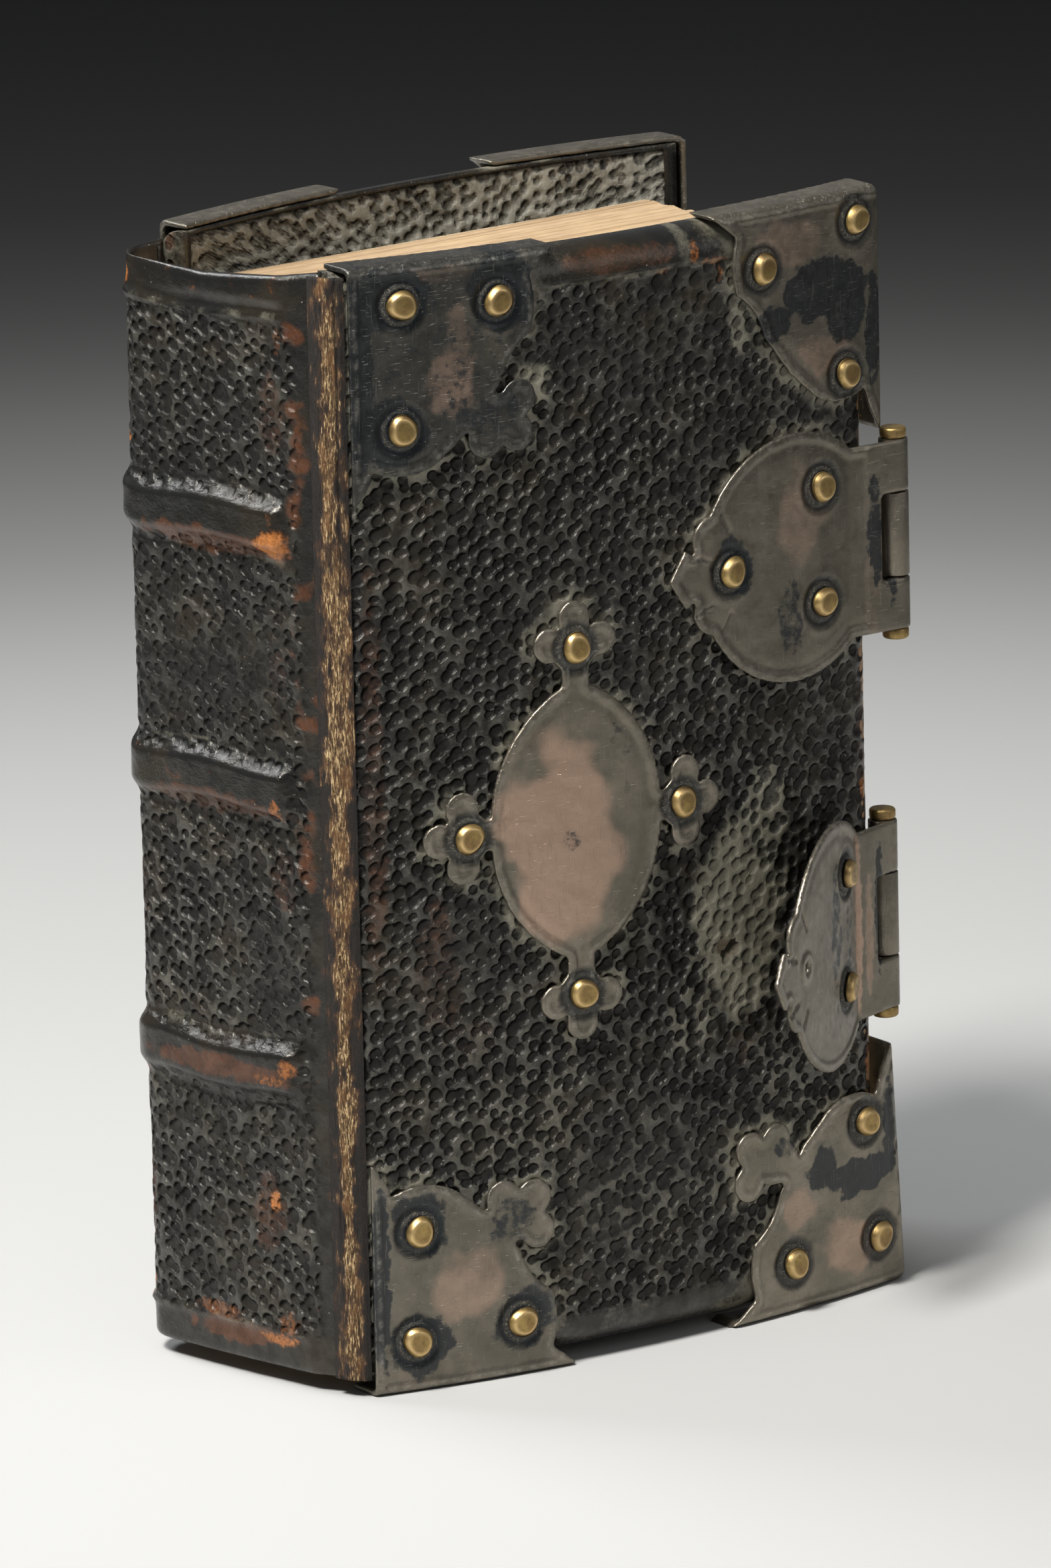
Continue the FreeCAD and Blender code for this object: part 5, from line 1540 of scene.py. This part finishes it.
class BOOK_OT_mounts(PieceOperator, bpy.types.Operator):
    """Corner mounts and centre plates of both covers"""
    bl_idname = "book.mounts"
    bl_label = "Mounts"

    def execute(self, context):
        for side in (FRONT, REAR):
            step = mm("metal_step") if side == FRONT else mm("metal_step") * 1.5
            for corner in CORNER_RIVETS:
                dress_plate(f"{side}_corner_{corner}", side, f"{side}_cover", corner_rivets(corner), step)
            dress_plate(f"{side}_centre_plate", side, f"{side}_cover", centre_rivets(), step)
        return {"FINISHED"}


class BOOK_OT_clasps(PieceOperator, bpy.types.Operator):
    """Hinge plates, pins, arms and catches of the two clasps"""
    bl_idname = "book.clasps"
    bl_label = "Clasps"

    def execute(self, context):
        step = mm("metal_step")
        dress_plate("upper_clasp_plate", FRONT, "front_cover", clasp_rivets(UPPER_CLASP), step)
        dress_plate("lower_clasp_plate", FRONT, "front_cover", clasp_rivets(LOWER_CLASP)[:2], step,
                    lifted=True)
        for word, level in (("upper", UPPER_CLASP), ("lower", LOWER_CLASP)):
            dress_plate(f"{word}_catch", REAR, "rear_cover", catch_rivets(level), step * 1.3)
            soft_copy(f"{word}_clasp_pin", "front_cover", "rivet_brass", "brass", 0.42, "form")
            soft_copy(f"{word}_clasp_arm", f"{word}_arm", "tarnished_metal", "metal", 0.15, "tarnish")
        return {"FINISHED"}


class BOOK_OT_rivets(PieceOperator, bpy.types.Operator):
    """Brass rivets of the mounts"""
    bl_idname = "book.rivets"
    bl_label = "Rivets"

    def execute(self, context):
        for side in (FRONT, REAR):
            for seed, corner in enumerate(CORNER_RIVETS):
                rivet_heads(f"{side}_{corner}_heads", corner_rivets(corner), side, f"{side}_cover",
                            f"{side}_rivets_{corner}", seed=seed)
            rivet_heads(f"{side}_centre_heads", centre_rivets(), side, f"{side}_cover",
                        f"{side}_rivets_centre", seed=5)
        rivet_heads("upper_clasp_heads", clasp_rivets(UPPER_CLASP), FRONT, "front_cover",
                    "upper_clasp_rivets", seed=6)
        rivet_heads("lower_clasp_heads", clasp_rivets(LOWER_CLASP)[:2], FRONT, "front_cover",
                    "lower_clasp_rivets", lifted=True, seed=7)
        for word, level in (("upper", UPPER_CLASP), ("lower", LOWER_CLASP)):
            rivet_heads(f"{word}_catch_heads", catch_rivets(level), REAR, "rear_cover",
                        f"{word}_catch_rivets", seed=8)
        return {"FINISHED"}


class BOOK_OT_cover_leather(PieceOperator, bpy.types.Operator):
    """Grained leather over both covers"""
    bl_idname = "book.cover_leather"
    bl_label = "Cover leather"

    def execute(self, context):
        for side in (FRONT, REAR):
            cover_leather(side)
            turn_in(side)
        return {"FINISHED"}


class BOOK_OT_spine(PieceOperator, bpy.types.Operator):
    """Spine leather with its raised bands"""
    bl_idname = "book.spine"
    bl_label = "Spine"

    def execute(self, context):
        spine_skin()
        return {"FINISHED"}


class BOOK_OT_joints(PieceOperator, bpy.types.Operator):
    """Frayed leather over the two joints"""
    bl_idname = "book.joint_strips"
    bl_label = "Joints"

    def execute(self, context):
        for side in (FRONT, REAR):
            joint_strip(side)
        return {"FINISHED"}


class BOOK_OT_pages(PieceOperator, bpy.types.Operator):
    """Text block"""
    bl_idname = "book.pages"
    bl_label = "Pages"

    def execute(self, context):
        page_block()
        return {"FINISHED"}


class BOOK_OT_threads(PieceOperator, bpy.types.Operator):
    """Thread-wound headbands and twisted sewing cords"""
    bl_idname = "book.threads"
    bl_label = "Headbands and cords"

    def execute(self, context):
        rear_y = mm("thickness") - SHOULDER_INSET
        for word, edge in (("head", TEXT_HIGH + 0.7), ("tail", TEXT_LOW - 0.7)):
            wound_roll(f"{word}_thread", inset=0.95, x_shift=0.95, middle=edge, half_wide=0.84,
                       half_tall=0.66, pitch=0.6, plies=1, low_y=SHOULDER_INSET + 0.7, high_y=rear_y + 0.2,
                       finish_name="thread", slot="headband_thread", node=f"headband_{word}")
        for word, level in zip(("lower", "middle", "upper"), BAND_LEVELS):
            wound_roll(f"{word}_cord", inset=0.12, x_shift=0.0, middle=level, half_wide=0.74, half_tall=1.7,
                       pitch=2.6, plies=2, low_y=SHOULDER_INSET + 1.1, high_y=rear_y - 0.3,
                       finish_name="cord", slot="sewing_cord", node=f"sewing_cord_{word}")
        return {"FINISHED"}


class BOOK_OT_inner_parts(PieceOperator, bpy.types.Operator):
    """Finishes of the boards and papers, which keep their CAD shapes"""
    bl_idname = "book.inner_parts"
    bl_label = "Inner parts"

    def execute(self, context):
        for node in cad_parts:
            finish_name = None
            if node.endswith("board"):
                finish_name = "wood"
            elif node.endswith("pastedown"):
                finish_name = "endpaper"
            if finish_name:
                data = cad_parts[node].data
                data.materials.clear()
                data.materials.append(material(finish_name))
        return {"FINISHED"}


class BOOK_OT_stage(PieceOperator, bpy.types.Operator):
    """Pale floor, soft lamps and the camera"""
    bl_idname = "book.stage"
    bl_label = "Stage"

    def execute(self, context):
        deselect()
        bpy.ops.mesh.primitive_plane_add(size=FLOOR_SIZE, location=(0, 0, -FLOOR_GAP))
        floor = bpy.context.object
        floor.name = "pale_floor"
        floor.data.materials.append(floor_finish())
        make_camera()
        for values in LAMPS:
            lamp(*values)
        world = bpy.data.worlds.new("studio")
        bpy.context.scene.world = world
        world.use_nodes = True
        background = world.node_tree.nodes["Background"]
        background.inputs["Color"].default_value = (0.75, 0.77, 0.80, 1.0)
        background.inputs["Strength"].default_value = 0.20
        bpy.context.scene.view_settings.view_transform = "Standard"
        return {"FINISHED"}


class BOOK_PT_panel(bpy.types.Panel):
    """Sizes, colours and pieces of the book"""
    bl_idname = "BOOK_PT_panel"
    bl_label = "Leather book"
    bl_space_type = "VIEW_3D"
    bl_region_type = "UI"
    bl_category = "Book"

    def draw(self, context):
        settings = context.scene.book
        for group in (settings.sizes, settings.colours):
            box = self.layout.box()
            for name in group.bl_rna.properties.keys():
                if name not in ("rna_type", "name"):
                    box.prop(group, name)
        for operator in PIECES:
            self.layout.operator(operator.bl_idname)


PIECES = (BOOK_OT_mounts, BOOK_OT_clasps, BOOK_OT_rivets, BOOK_OT_cover_leather, BOOK_OT_spine,
          BOOK_OT_joints, BOOK_OT_threads, BOOK_OT_pages, BOOK_OT_inner_parts, BOOK_OT_stage)
CLASSES = (BookSizes, BookColours, BookSettings, *PIECES, BOOK_PT_panel)


def register():
    for kind in CLASSES:
        bpy.utils.register_class(kind)
    bpy.types.Scene.book = PointerProperty(type=BookSettings)


def unregister():
    del bpy.types.Scene.book
    for kind in reversed(CLASSES):
        bpy.utils.unregister_class(kind)


def main():
    register()
    bpy.ops.book.mounts()
    bpy.ops.book.clasps()
    bpy.ops.book.rivets()
    bpy.ops.book.cover_leather()
    bpy.ops.book.spine()
    bpy.ops.book.joint_strips()
    bpy.ops.book.threads()
    bpy.ops.book.pages()
    bpy.ops.book.inner_parts()
    bpy.ops.book.stage()


if __name__ == "__main__":
    main()
